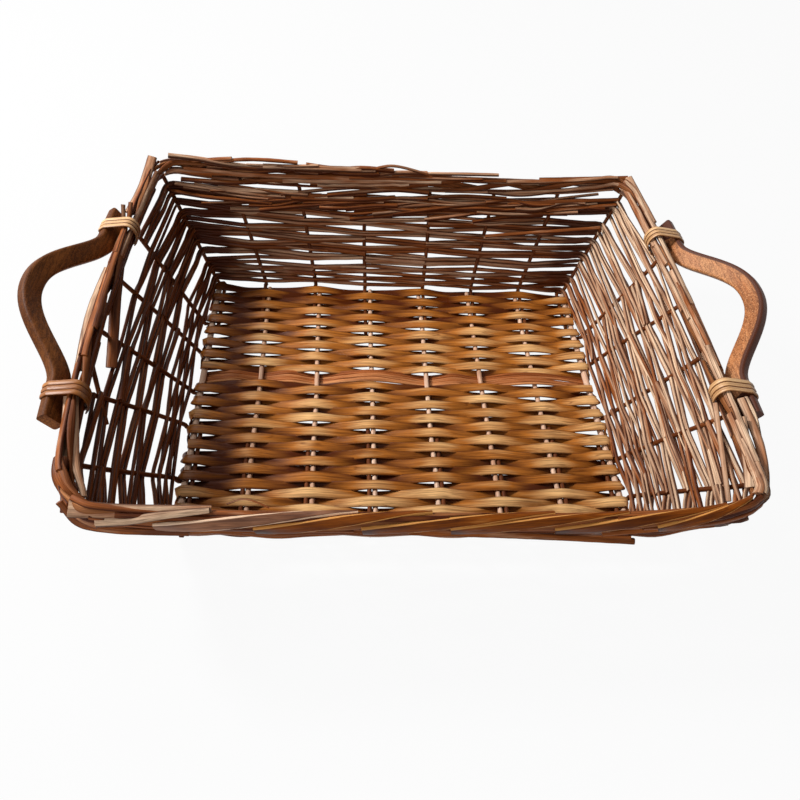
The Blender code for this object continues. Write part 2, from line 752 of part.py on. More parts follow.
def main():
    """Builds the basket."""
    clear_scene()
    build_base_sticks(wood("stick", (0.42, 0.25, 0.14), 0.6))
    build_centre_rods(wood("red_rod", (0.24, 0.07, 0.03), 0.5))
    build_base_weavers(wood("split_willow", (0.43, 0.19, 0.05), 0.5))
    build_stakes(wood("stake", (0.20, 0.08, 0.03), 0.6))
    build_wall_weavers(wood("weaver", (0.24, 0.10, 0.04), 0.6))
    build_handles(wood("bentwood", (0.22, 0.09, 0.04), 0.55))
    build_lashings(wood("cane", (0.55, 0.29, 0.09), 0.4))


main()
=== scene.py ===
"""Looks of a flat tray basket of woven willow with two bentwood ear handles.

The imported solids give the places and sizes. This script dresses them: each rod is woven
again with its taper, its joins and its grain, the split willow of the base swells over the
sticks, the border gets its full number of rods, and the handles and their cane get their
rounded edges. Metres, +Z up, +X along the tray and +Y to its back wall.
"""

import logging
import math
from dataclasses import dataclass, field
from enum import Enum
from random import Random
from typing import Any, Callable, ClassVar, Iterable, Sequence

import bpy
from bpy.types import ID, Material, Mesh, NodeSocket, NodeTree, Object
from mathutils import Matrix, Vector


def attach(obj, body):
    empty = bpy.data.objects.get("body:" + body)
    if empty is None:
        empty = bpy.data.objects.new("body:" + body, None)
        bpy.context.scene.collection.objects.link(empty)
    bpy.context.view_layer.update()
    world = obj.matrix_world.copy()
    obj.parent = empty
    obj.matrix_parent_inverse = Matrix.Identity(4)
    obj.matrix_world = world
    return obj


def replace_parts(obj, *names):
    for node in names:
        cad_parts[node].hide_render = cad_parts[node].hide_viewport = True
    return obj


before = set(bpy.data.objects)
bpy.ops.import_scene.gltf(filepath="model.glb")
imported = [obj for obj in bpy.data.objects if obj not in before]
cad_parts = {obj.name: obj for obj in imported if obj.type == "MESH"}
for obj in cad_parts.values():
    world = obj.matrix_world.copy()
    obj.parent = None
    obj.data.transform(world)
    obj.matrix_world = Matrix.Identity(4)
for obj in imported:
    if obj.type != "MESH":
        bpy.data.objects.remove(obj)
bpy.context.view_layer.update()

logging.basicConfig(level=logging.INFO, format="%(message)s")
LOG = logging.getLogger("basket")

UP = Vector((0.0, 0.0, 1.0))

Colour = tuple[float, float, float, float]
Screen = tuple[int, int, int]
Triple = tuple[float, float, float]
Range = tuple[float, float]
Pair = tuple[Vector, Vector]


def srgb(red: int, green: int, blue: int) -> Colour:
    """A colour as it is seen on a screen, from 0 to 255, turned into linear light."""
    linear = []
    for share in (red / 255, green / 255, blue / 255):
        linear.append(share / 12.92 if share <= 0.04045 else ((share + 0.055) / 1.055) ** 2.4)
    return (*linear, 1.0)


def clamped(value: float, low: float = 0.0, high: float = 1.0) -> float:
    """A value, kept between two others."""
    return min(max(value, low), high)


def spaced(span: float, steps: int) -> list[float]:
    """The places from 0 to a span in equal steps."""
    return [span * step / steps for step in range(steps + 1)]


def metres(*sizes: float) -> list[float]:
    """Sizes that are given in millimetres."""
    return [size / 1000 for size in sizes]


# Shader and geometry graphs


def _operator(operation: str, turned: bool = False) -> Callable[["Flow", Any], "Flow"]:
    """An operator that adds a maths node, with the other value first where it is turned."""

    def apply(flow: "Flow", other: Any) -> "Flow":
        """The node's output."""
        first, second = (other, flow) if turned else (flow, other)
        return flow.pair(operation, first, second)

    return apply


class Flow:
    """A node's output, which arithmetic turns into Math and Vector Math nodes."""

    __add__ = _operator("ADD")
    __radd__ = _operator("ADD", True)
    __sub__ = _operator("SUBTRACT")
    __rsub__ = _operator("SUBTRACT", True)
    __mul__ = _operator("MULTIPLY")
    __rmul__ = _operator("MULTIPLY", True)
    __truediv__ = _operator("DIVIDE")
    __rtruediv__ = _operator("DIVIDE", True)
    __pow__ = _operator("POWER")

    def __init__(self, graph: "Graph", socket: NodeSocket) -> None:
        """Keeps the graph and the output that it wraps."""
        self.graph = graph
        self.socket = socket

    def pair(self, operation: str, first: Any, second: Any) -> "Flow":
        """A Math node on two values, or a Vector Math node where either is a vector."""
        kinds = [value.socket.type for value in (first, second) if isinstance(value, Flow)]
        vector = "VECTOR" in kinds or "RGBA" in kinds
        kind = "ShaderNodeVectorMath" if vector else "ShaderNodeMath"
        return self.graph.add(kind, {0: first, 1: second}, operation=operation)

    def __abs__(self) -> "Flow":
        """This without its sign."""
        return self.graph.add("ShaderNodeMath", {0: self}, operation="ABSOLUTE")

    def length(self) -> "Flow":
        """How long this vector is."""
        return self.graph.add("ShaderNodeVectorMath", {0: self}, "Value", operation="LENGTH")

    def unit(self) -> "Flow":
        """This vector, made one long."""
        return self.graph.add("ShaderNodeVectorMath", {0: self}, operation="NORMALIZE")

    def scaled(self, amount: "Flow") -> "Flow":
        """This vector times an amount."""
        return self.graph.add("ShaderNodeVectorMath", {0: self, "Scale": amount}, operation="SCALE")

    def between(self, low: float, high: float) -> "Flow":
        """0 below the low value, 1 above the high one, and a smooth rise from one to the other."""
        inputs = {"Value": self, 1: low, 2: high}
        return self.graph.add("ShaderNodeMapRange", inputs, interpolation_type="SMOOTHSTEP")


class Graph:
    """A node tree that is built by calls."""

    def __init__(self, tree: NodeTree) -> None:
        """Keeps the tree that the nodes go into."""
        self.tree = tree

    def add(
        self, kind: str, inputs: dict[Any, Any] | None = None, output: Any = 0, **settings: Any
    ) -> Flow:
        """Adds one node.

        Args:
            kind: the node's type.
            inputs: values or flows for its sockets, by name or number.
            output: the name or number of the output that is wanted.
            settings: the node's properties, which are set first.

        Returns:
            That output.
        """
        node = self.tree.nodes.new(kind)
        for name, value in settings.items():
            setattr(node, name, value)
        for name, value in (inputs or {}).items():
            if isinstance(value, Flow):
                self.tree.links.new(value.socket, node.inputs[name])
            else:
                node.inputs[name].default_value = value
        return Flow(self, node.outputs[output])

    def mix(self, share: Any, first: Any, second: Any) -> Flow:
        """Mixes two colours, with the share of the second given first."""
        inputs = {0: share, 6: first, 7: second}
        return self.add("ShaderNodeMix", inputs, 2, data_type="RGBA", clamp_factor=True)

    def ramp(self, value: Flow, stops: Sequence[tuple[float, Colour]]) -> Flow:
        """Turns a value into a colour between stops, of which the two ends come first."""
        ramp = self.add("ShaderNodeValToRGB", {"Fac": value})
        elements = ramp.socket.node.color_ramp.elements
        for number, (place, colour) in enumerate(stops):
            stop = elements[number] if number < 2 else elements.new(place)
            stop.position = place
            stop.color = colour
        return ramp

    def noise(self, place: Flow, scale: float, detail: float, roughness: float = 0.5) -> Flow:
        """A noise over places, as fine and as rough as it is asked."""
        inputs = {"Vector": place, "Scale": scale, "Detail": detail, "Roughness": roughness}
        return self.add("ShaderNodeTexNoise", inputs)

    def attribute(self, name: str, output: str = "Fac") -> Flow:
        """A named attribute, as a material reads it."""
        return self.add("ShaderNodeAttribute", output=output, attribute_name=name)

    def position(self) -> Flow:
        """The place of each point of a geometry."""
        return self.add("GeometryNodeInputPosition")

    def read(self, name: str, kind: str = "FLOAT") -> Flow:
        """A named attribute of a geometry."""
        return self.add("GeometryNodeInputNamedAttribute", {"Name": name}, data_type=kind)

    def store(self, geometry: Flow, name: str, value: Flow, kind: str = "FLOAT") -> Flow:
        """A geometry with a value stored on its points under a name."""
        inputs = {"Geometry": geometry, "Name": name, "Value": value}
        return self.add("GeometryNodeStoreNamedAttribute", inputs, data_type=kind, domain="POINT")


class Follow(Enum):
    """What a wood's grain follows: a bent rod's own length, or the object's axes."""

    ROD = "grain"
    AXES = "axes"


@dataclass(frozen=True)
class Wood:
    """A wood finish.

    Its colour runs between three tones from rod to rod and along each rod, with dark fibres
    and splits, edges darkened with painted shade or lit with a painted highlight, and a fine
    bump. The tones are screen colours, and a range says where a mark starts and where it is full.
    """

    name: str
    dark: Screen
    middle: Screen
    pale: Screen
    roughness: float = 0.55
    shine: float = 0.2
    tint_size: float = 9.0
    tint_share: float = 0.72
    blotch_size: float = 0.13
    blotch_stretch: float = 0.12
    blotch_share: float = 0.9
    blotch_roughness: float = 0.3
    tone_drop: float = 0.31
    tone_stops: Triple = (0.0, 0.95, 0.45)
    fibre_size: float = 1400.0
    fibre_stretch: float = 0.03
    fibre_roughness: float = 0.65
    fibre_depth: float = 0.45
    streaks: Range = (0.36, 0.62)
    split_size: float = 330.0
    split_stretch: float = 0.02
    split_width: float = 0.035
    split_depth: float = 0.5
    split_groove: float = 0.8
    speckle: float = 0.0
    speckle_size: float = 900.0
    speckle_roughness: float = 0.8
    speckled_relief: float = 0.4
    pale_speckle: Range = (0.52, 0.66)
    dark_speckle: Range = (0.34, 0.48)
    edge: Range = (0.62, 0.98)
    painted_edge_shade: float = 0.0
    painted_highlight_edge: Range = (0.71, 0.78)
    lit_edge: float = 0.0
    bump: float = 0.35
    bump_height: float = 0.0004
    follow: Follow = Follow.ROD

    def material(self) -> Material:
        """Builds the material."""
        material = bpy.data.materials.new(self.name)
        material.use_nodes = True
        graph = Graph(material.node_tree)
        dark, middle, pale = (srgb(*tone) for tone in (self.dark, self.middle, self.pale))
        if self.follow is Follow.ROD:
            place = graph.attribute(Follow.ROD.value, "Vector")
            tint = graph.attribute("tint")
        else:
            place = graph.add("ShaderNodeTexCoord", output="Object")
            tint = graph.noise(place, self.tint_size, 2.0)
        long_fibres = self._drawn_out(place, self.fibre_stretch)
        fibres = graph.noise(long_fibres, self.fibre_size, 4.0, self.fibre_roughness)
        long_blotches = self._drawn_out(place, self.blotch_stretch)
        blotches = graph.noise(long_blotches, self.fibre_size * self.blotch_size, 3.0)
        tone = tint * self.tint_share + blotches * self.blotch_share - self.tone_drop
        colour = graph.ramp(tone, list(zip(self.tone_stops, (dark, pale, middle))))
        streaks = 1.0 - fibres.between(*self.streaks)
        colour = graph.mix(streaks * self.fibre_depth, colour, dark)
        splits = graph.noise(self._drawn_out(place, self.split_stretch), self.split_size, 1.0)
        line = 1.0 - abs(splits - 0.5).between(0.0, self.split_width)
        colour = graph.mix(line * self.split_depth, colour, dark)
        relief = fibres - line * self.split_groove
        if self.speckle:
            grains = graph.noise(place, self.speckle_size, 2.0, self.speckle_roughness)
            colour = graph.mix(grains.between(*self.pale_speckle) * self.speckle, colour, pale)
            shadows = 1.0 - grains.between(*self.dark_speckle)
            colour = graph.mix(shadows * self.speckle, colour, dark)
            relief = relief * self.speckled_relief + grains
        # Painted shade darkens the sides of each section, and a painted highlight pales its outermost
        # edge.
        if self.painted_edge_shade:
            edge = graph.attribute("edge")
            colour = graph.mix(edge.between(*self.edge) * self.painted_edge_shade, colour, dark)
            colour = graph.mix(edge.between(*self.painted_highlight_edge) * self.lit_edge, colour, pale)
        rough = blotches * self.blotch_roughness + (self.roughness - self.blotch_roughness / 2)
        heights = {"Strength": self.bump, "Distance": self.bump_height, "Height": relief}
        bump = graph.add("ShaderNodeBump", heights)
        shader = graph.tree.nodes["Principled BSDF"]
        shader.inputs["Specular IOR Level"].default_value = self.shine
        for name, flow in (("Base Color", colour), ("Roughness", rough), ("Normal", bump)):
            graph.tree.links.new(flow.socket, shader.inputs[name])
        return material

    def _drawn_out(self, place: Flow, stretch: float) -> Flow:
        """The place with its length drawn out, so that a pattern runs along the grain."""
        return place * ((1.0, 1.0, stretch) if self.follow is Follow.ROD else (1.0, stretch, 1.0))


class Finishes:
    """The finishes of the basket, each built once."""

    WOODS = (
        Wood("peeled_stick", (120, 78, 54), (198, 150, 118), (236, 204, 178)),
        Wood("red_rod", (84, 36, 12), (164, 92, 46), (212, 144, 92), roughness=0.42, shine=0.1),
        Wood(
            "split_willow", (74, 28, 0), (176, 106, 40), (238, 188, 126), roughness=0.36, shine=0.1,
            fibre_size=1100.0, edge=(0.5, 0.98), painted_edge_shade=0.9,
        ),
        Wood("stake_wood", (50, 16, 0), (112, 58, 24), (164, 108, 66), roughness=0.55, shine=0.1),
        Wood(
            "border_wood", (60, 20, 0), (140, 72, 14), (214, 150, 80), roughness=0.42, shine=0.1,
            edge=(0.45, 0.98), painted_edge_shade=0.6, lit_edge=0.8,
        ),
        Wood(
            "border_pale", (62, 28, 12), (170, 116, 82), (234, 198, 166), roughness=0.45,
            edge=(0.45, 0.98), painted_edge_shade=0.6, lit_edge=0.8,
        ),
        Wood(
            "wall_wood", (58, 18, 0), (152, 86, 42), (236, 202, 168), roughness=0.45, shine=0.1,
            edge=(0.5, 0.98), painted_edge_shade=0.95,
        ),
        Wood(
            "bentwood", (70, 30, 8), (172, 106, 60), (222, 164, 114), roughness=0.5,
            fibre_size=500.0, fibre_stretch=0.05, fibre_depth=0.4, speckle=0.5,
            edge=(0.76, 0.84), painted_edge_shade=1.0, follow=Follow.AXES,
        ),
        # The left handle's bentwood, darkened with painted shade for its shaded side.
        Wood(
            "bentwood_painted_shade", (46, 18, 2), (116, 64, 26), (176, 110, 58), roughness=0.5, shine=0.08,
            fibre_size=500.0, fibre_stretch=0.05, fibre_depth=0.6, speckle=0.35,
            edge=(0.85, 0.98), painted_edge_shade=0.6, follow=Follow.AXES,
        ),
        Wood(
            "cane", (110, 58, 16), (184, 122, 56), (230, 188, 138), roughness=0.38, shine=0.25,
            fibre_size=1000.0, edge=(0.6, 0.98), painted_edge_shade=0.85,
        ),
    )

    def __init__(self) -> None:
        """Builds each wood's material once."""
        self.materials = {wood.name: wood.material() for wood in self.WOODS}

    def __getitem__(self, name: str) -> Material:
        """The material of that name."""
        return self.materials[name]


# Rods: a path for each, which one geometry tree turns into wood


@dataclass
class Rod:
    """One rod or strip: the points that it passes and its section at each of them.

    A single number or direction holds for every point.
    """

    points: list[Vector]
    radii: float | list[float]
    tint: float = 0.5
    facing: Vector | list[Vector] | None = None
    thick: float | list[float] = 1.0
    spread: float | list[float] = 1.0
    tones: float | list[float] | None = None

    def each(self, value: Any) -> list[Any]:
        """A value for every point, from a list of them or from one."""
        return value if isinstance(value, list) else [value] * len(self.points)


def placed(name: str, data: ID) -> Object:
    """A new object of the scene."""
    thing = bpy.data.objects.new(name, data)
    bpy.context.scene.collection.objects.link(thing)
    return thing


def stored(mesh: Mesh, values: dict[str, list[float]]) -> Mesh:
    """A mesh with named numbers on its points, where three to a point make vectors."""
    for name, numbers in values.items():
        vector = len(numbers) > len(mesh.vertices)
        layer = mesh.attributes.new(name, "FLOAT_VECTOR" if vector else "FLOAT", "POINT")
        layer.data.foreach_set("vector" if vector else "value", numbers)
    return mesh


def pressed(piece: Object, low: Vector, high: Vector) -> Object:
    """A piece, flattened where it would stand out of the box between two corners."""
    for vertex in piece.data.vertices:
        vertex.co = Vector(max(a, min(b, c)) for a, b, c in zip(low, vertex.co, high))
    return piece


class WandTree:
    """The geometry tree that turns paths into rods or strips.

    Each path is smoothed and resampled, gets a round section of its own radius at each
    point, and the section is then squeezed along the way that it faces and widened across.
    INPUTS are the tree's inputs beside the paths, GIVEN the numbers that each point of a
    path carries, and HELPERS the attributes that are dropped once the rods are made.
    """

    INPUTS = (
        ("Sides", "NodeSocketInt", 9),
        ("Step", "NodeSocketFloat", 0.004),
        ("Unevenness", "NodeSocketFloat", 0.00015),
        ("Squareness", "NodeSocketFloat", 2.0),
        ("Seed", "NodeSocketFloat", 1.0),
        ("Material", "NodeSocketMaterial", None),
    )
    WAVES = 90.0
    KEY_SPREAD = (13.0, 7.0)
    SHARP = math.radians(60)
    HELPERS = ("centre", "along", "section", "girth", "thick", "spread", "facing", "key")
    GIVEN = ("girth", "tint", "key", "thick", "spread")

    def __init__(self) -> None:
        """Builds the tree."""
        self.tree = bpy.data.node_groups.new("willow_rods", "GeometryNodeTree")
        self.tree.is_modifier = True
        face = self.tree.interface
        face.new_socket("Paths", in_out="INPUT", socket_type="NodeSocketGeometry")
        self.sockets: dict[str, str] = {}
        for name, kind, value in self.INPUTS:
            socket = face.new_socket(name, in_out="INPUT", socket_type=kind)
            if value is not None:
                socket.default_value = value
            self.sockets[name] = socket.identifier
        face.new_socket("Rods", in_out="OUTPUT", socket_type="NodeSocketGeometry")
        self._build(Graph(self.tree))

    def _build(self, graph: Graph) -> None:
        """Adds and links the nodes."""
        entry = graph.tree.nodes.new("NodeGroupInput")
        given = {socket.name: Flow(graph, socket) for socket in entry.outputs if socket.name}
        curve = graph.add("GeometryNodeMeshToCurve", {"Mesh": given["Paths"]})
        curve = graph.add("GeometryNodeCurveSplineType", {"Curve": curve}, spline_type="CATMULL_ROM")
        spacing = {"Curve": curve, "Length": given["Step"]}
        curve = graph.add("GeometryNodeResampleCurve", spacing, mode="LENGTH")
        curve = graph.store(curve, "centre", graph.position(), "FLOAT_VECTOR")
        along = graph.add("GeometryNodeSplineParameter", output="Length")
        curve = graph.store(curve, "along", along)
        radius = graph.read("girth")
        curve = graph.add("GeometryNodeSetCurveRadius", {"Curve": curve, "Radius": radius})
        circle = {"Resolution": given["Sides"], "Radius": 1.0}
        ring = graph.add("GeometryNodeCurvePrimitiveCircle", circle, mode="RADIUS")
        ring = graph.store(ring, "section", graph.position(), "FLOAT_VECTOR")
        sweep = {"Curve": curve, "Profile Curve": ring, "Fill Caps": True, "Scale": radius}
        mesh = self._squeeze(graph, graph.add("GeometryNodeCurveToMesh", sweep), given)
        section = graph.read("section", "FLOAT_VECTOR") * (graph.read("girth") * graph.read("spread"))
        key = graph.read("key")
        aside = {0: key * self.KEY_SPREAD[0], 1: key * self.KEY_SPREAD[1], 2: graph.read("along")}
        spot = graph.add("ShaderNodeCombineXYZ", aside)
        mesh = graph.store(mesh, "grain", section + spot, "FLOAT_VECTOR")
        for name in self.HELPERS:
            mesh = graph.add("GeometryNodeRemoveAttribute", {"Geometry": mesh, "Name": name})
        mesh = graph.add("GeometryNodeSetShadeSmooth", {"Geometry": mesh})
        mesh = graph.add("GeometryNodeRealizeInstances", {"Geometry": mesh})
        finish = {"Geometry": mesh, "Material": given["Material"]}
        mesh = graph.add("GeometryNodeSetMaterial", finish)
        leave = graph.tree.nodes.new("NodeGroupOutput")
        graph.tree.links.new(mesh.socket, leave.inputs[0])

    def _squeeze(self, graph: Graph, mesh: Flow, given: dict[str, Flow]) -> Flow:
        """Makes each round section as thick and as wide as the path asks, and a little uneven."""
        centre = graph.read("centre", "FLOAT_VECTOR")
        facing = graph.read("facing", "FLOAT_VECTOR").unit()
        away = graph.position() - centre
        both = {0: away, 1: facing}
        depth = graph.add("ShaderNodeVectorMath", both, "Value", operation="DOT_PRODUCT")
        through = facing.scaled(depth)
        reach = away.length()
        power = given["Squareness"]
        across = (away - through).length() / reach
        squaring = (abs(depth / reach) ** power + across**power) ** (-1.0 / power)
        mesh = graph.store(mesh, "edge", across)
        squeezed = through.scaled(graph.read("thick") * squaring)
        widened = (away - through).scaled(graph.read("spread") * squaring)
        waves = {"Vector": centre, "W": given["Seed"], "Scale": self.WAVES, "Detail": 2.0}
        uneven = graph.add("ShaderNodeTexNoise", waves, noise_dimensions="4D")
        swell = away.unit().scaled((uneven - 0.5) * 2.0 * given["Unevenness"])
        place = centre + squeezed + widened + swell
        return graph.add("GeometryNodeSetPosition", {"Geometry": mesh, "Position": place})

    def make(
        self,
        name: str,
        rods: Sequence[Rod],
        material: Material,
        sides: int = 9,
        step: float = 0.004,
        unevenness: float = 0.00015,
        squareness: float = 2.0,
    ) -> Object:
        """Turns rods into one finished piece.

        Args:
            name: the piece's name.
            rods: its rods.
            material: their wood.
            sides: how many sides each section has.
            step: how far apart the sections stand.
            unevenness: how much the surface swells and sinks.
            squareness: 2 for a round section, more for one with corners.

        Returns:
            The piece, as a plain mesh object at the origin.
        """
        guide = placed(name + "_guide", self._guide_mesh(name, rods))
        modifier = guide.modifiers.new("rods", "NODES")
        modifier.node_group = self.tree
        values = (sides, step, unevenness, squareness, float(len(rods)), material)
        for (socket, _, _), value in zip(self.INPUTS, values):
            modifier[self.sockets[socket]] = value
        bpy.context.view_layer.update()
        graph = bpy.context.evaluated_depsgraph_get()
        mesh = bpy.data.meshes.new_from_object(guide.evaluated_get(graph))
        mesh.name = name
        mesh.set_sharp_from_angle(angle=self.SHARP)
        bpy.data.objects.remove(guide, do_unlink=True)
        return placed(name, mesh)

    def _guide_mesh(self, name: str, rods: Sequence[Rod]) -> Mesh:
        """A mesh of bare edges that carries the rods' paths and their sizes."""
        points: list[Vector] = []
        edges: list[tuple[int, int]] = []
        values: dict[str, list[float]] = {key: [] for key in (*self.GIVEN, "facing")}
        for rod in rods:
            first = len(points)
            points += rod.points
            edges += [(number, number + 1) for number in range(first, len(points) - 1)]
            tones = rod.tint if rod.tones is None else rod.tones
            given = (rod.radii, tones, rod.tint, rod.thick, rod.spread)
            for key, value in zip(self.GIVEN, given):
                values[key] += rod.each(value)
            for facing in rod.each(rod.facing or UP):
                values["facing"].extend(facing)
        mesh = bpy.data.meshes.new(name + "_guide")
        mesh.from_pydata(points, edges, [])
        return stored(mesh, values)


class Maker:
    """A part of the basket that builds its own pieces.

    Those that are worn are pushed in where they pass the front corners.
    """

    worn: ClassVar[bool] = False

    def build(self, tree: WandTree, woods: Finishes) -> list[Object]:
        """Builds the pieces; most makers also hide the imported parts that their pieces stand for.

        Args:
            tree: turns paths into rods.
            woods: the finishes.

        Returns:
            The pieces.
        """
        raise NotImplementedError


# The basket's own lines: rim, sticks, stakes


class Wall(Enum):
    """The four walls, in the order in which the stakes are counted."""

    FRONT = "front"
    RIGHT = "right"
    BACK = "back"
    LEFT = "left"


@dataclass
class Rim:
    """The middle line of the border, with its bowed ends and sagging sides."""

    length: float = 0.460
    width: float = 0.390
    corner_radius: float = 0.018
    height: float = 0.1116
    left_bow: float = 0.0095
    right_bow: float = 0.0045
    front_sag: float = 0.0120
    back_sag: float = 0.0090
    sticks: int = 8
    end_stakes: int = 5
    left_spacing: float = 0.0637
    right_spacing: float = 0.0625
    left_lean: float = 0.0230
    right_lean: float = 0.0395
    worn_corners: tuple[tuple[Range, Range], ...] = (
        ((-0.228, -0.190), (0.0070, 0.0018)),
        ((0.224, -0.195), (-0.0032, 0.0046)),
    )
    wear_reach: float = 0.020
    places: list[float] = field(default_factory=list)

    def __post_init__(self) -> None:
        """Spaces the stakes along the rim."""
        start = -self.arc / 2
        for length, _, quarter in self.stretches():
            steps = self.sticks - 1 if quarter % 2 == 0 else self.end_stakes + 1
            whole = length + self.arc
            right = (self.right_spacing, -self.right_lean)
            left = (self.left_spacing, self.left_lean)
            spacing, lean = {1: right, 3: left}.get(quarter, (whole / steps, 0.0))
            middle = start + whole / 2 + lean
            self.places.append(start)
            self.places += [middle + spacing * (n - steps / 2) for n in range(1, steps)]
            start += whole
        self.places.append(start)

    @property
    def arc(self) -> float:
        """The length of the rim round one corner."""
        return self.corner_radius * math.pi / 2

    @property
    def stakes(self) -> int:
        """How many stakes the basket has."""
        return 2 * self.sticks + 2 * self.end_stakes

    @property
    def corners(self) -> tuple[int, int, int, int]:
        """The numbers of the stakes at the corners."""
        side = self.sticks + self.end_stakes
        return (0, self.sticks - 1, side, side + self.sticks - 1)

    def stretches(self) -> list[tuple[float, Range, int]]:
        """Each straight stretch as its length, the corner that ends it, and its quarter."""
        half_x = self.length / 2 - self.corner_radius
        half_y = self.width / 2 - self.corner_radius
        ends = [(half_x, -half_y), (half_x, half_y), (-half_x, half_y), (-half_x, -half_y)]
        return list(zip([2 * half_x, 2 * half_y] * 2, ends, range(4)))

    def end_bow(self, side: float, y: float) -> float:
        """How far an end of the rim bows outward at a place along it."""
        bow = self.right_bow if side > 0 else self.left_bow
        return bow * max(1.0 - (y / (self.width / 2 - self.corner_radius)) ** 2, 0.0)

    def side_sag(self, side: float, x: float) -> float:
        """How far a long side of the rim hangs below its corners at a place along it."""
        sag = self.back_sag if side > 0 else self.front_sag
        return sag * max(1.0 - (x / (self.length / 2 - self.corner_radius)) ** 4, 0.0)

    def point(self, distance: float) -> Pair:
        """A point of the rim from a distance along it.

        Args:
            distance: metres from the start of the front stretch.

        Returns:
            The point, its height counted from the corners, and its outward direction.
        """
        distance %= sum(length + self.arc for length, _, _ in self.stretches())
        for length, corner, quarter in self.stretches():
            turned = clamped((distance - length) / self.corner_radius, 0.0, math.pi / 2)
            heading = quarter * math.pi / 2 + turned
            outward = Vector((math.sin(heading), -math.cos(heading), 0.0))
            place = Vector((*corner, 0.0))
            if distance < length:
                along = Vector((math.cos(heading), math.sin(heading), 0.0))
                place -= along * (length - distance)
                place += outward * self.corner_radius
                if quarter % 2 == 0:
                    return place - UP * self.side_sag(outward.y, place.x), outward
                return place + outward * self.end_bow(outward.x, place.y), outward
            distance -= length
            if distance < self.arc:
                return place + outward * self.corner_radius, outward
            distance -= self.arc
        raise ValueError("distance is off the rim")

    def beside(self, wall: Wall, place: float) -> Pair:
        """A rim point and its outward direction from a place along one wall.

        Args:
            wall: the wall.
            place: the place along the tray for the long walls, and across it for the ends.

        Returns:
            The point, its height counted from the corners, and its outward direction.
        """
        side = 1 if wall in (Wall.BACK, Wall.RIGHT) else -1
        if wall in (Wall.FRONT, Wall.BACK):
            sag = UP * self.side_sag(side, place)
            return Vector((place, side * self.width / 2, 0.0)) - sag, Vector((0.0, side, 0.0))
        out = self.length / 2 + self.end_bow(side, place)
        return Vector((side * out, place, 0.0)), Vector((side, 0.0, 0.0))

    def at(self, index: float) -> Pair:
        """A rim point and its outward direction from a stake number, which may have a fraction."""
        whole = math.floor(index)
        lap = self.places[-1] - self.places[0]
        turns, number = divmod(whole, self.stakes)
        low, high = self.places[number], self.places[number + 1]
        return self.point(low + (high - low) * (index - whole) + turns * lap)

    def around(self, index: float, angle: float, oval: Range, inset: float, grow: float = 1.0) -> Pair:
        """A place on an oval round the rim's line.

        Args:
            index: the stake number, which may have a fraction.
            angle: where round the oval it is, from the outer side over the top.
            oval: half the oval's width and height.
            inset: how far inside the oval the place lies.
            grow: how far out it lies against that.

        Returns:
            The place, and the way that the oval faces there.
        """
        wide, high = oval
        middle, outward = self.at(index)
        middle.z += self.height
        aside, above = outward * math.cos(angle), UP * math.sin(angle)
        out = (aside * (wide - inset) + above * (high - inset)) * grow
        return middle + out, (aside * high + above * wide).normalized()

    def wear(self, piece: Object) -> None:
        """Pushes a piece in where it passes the front corners, less and less beside them."""
        for (x, y), (right, back) in self.worn_corners:
            corner, push = Vector((x, y, self.height)), Vector((right, back, 0.0))
            for vertex in piece.data.vertices:
                away = (vertex.co - corner).length / self.wear_reach
                vertex.co += push * math.exp(-(away**2))


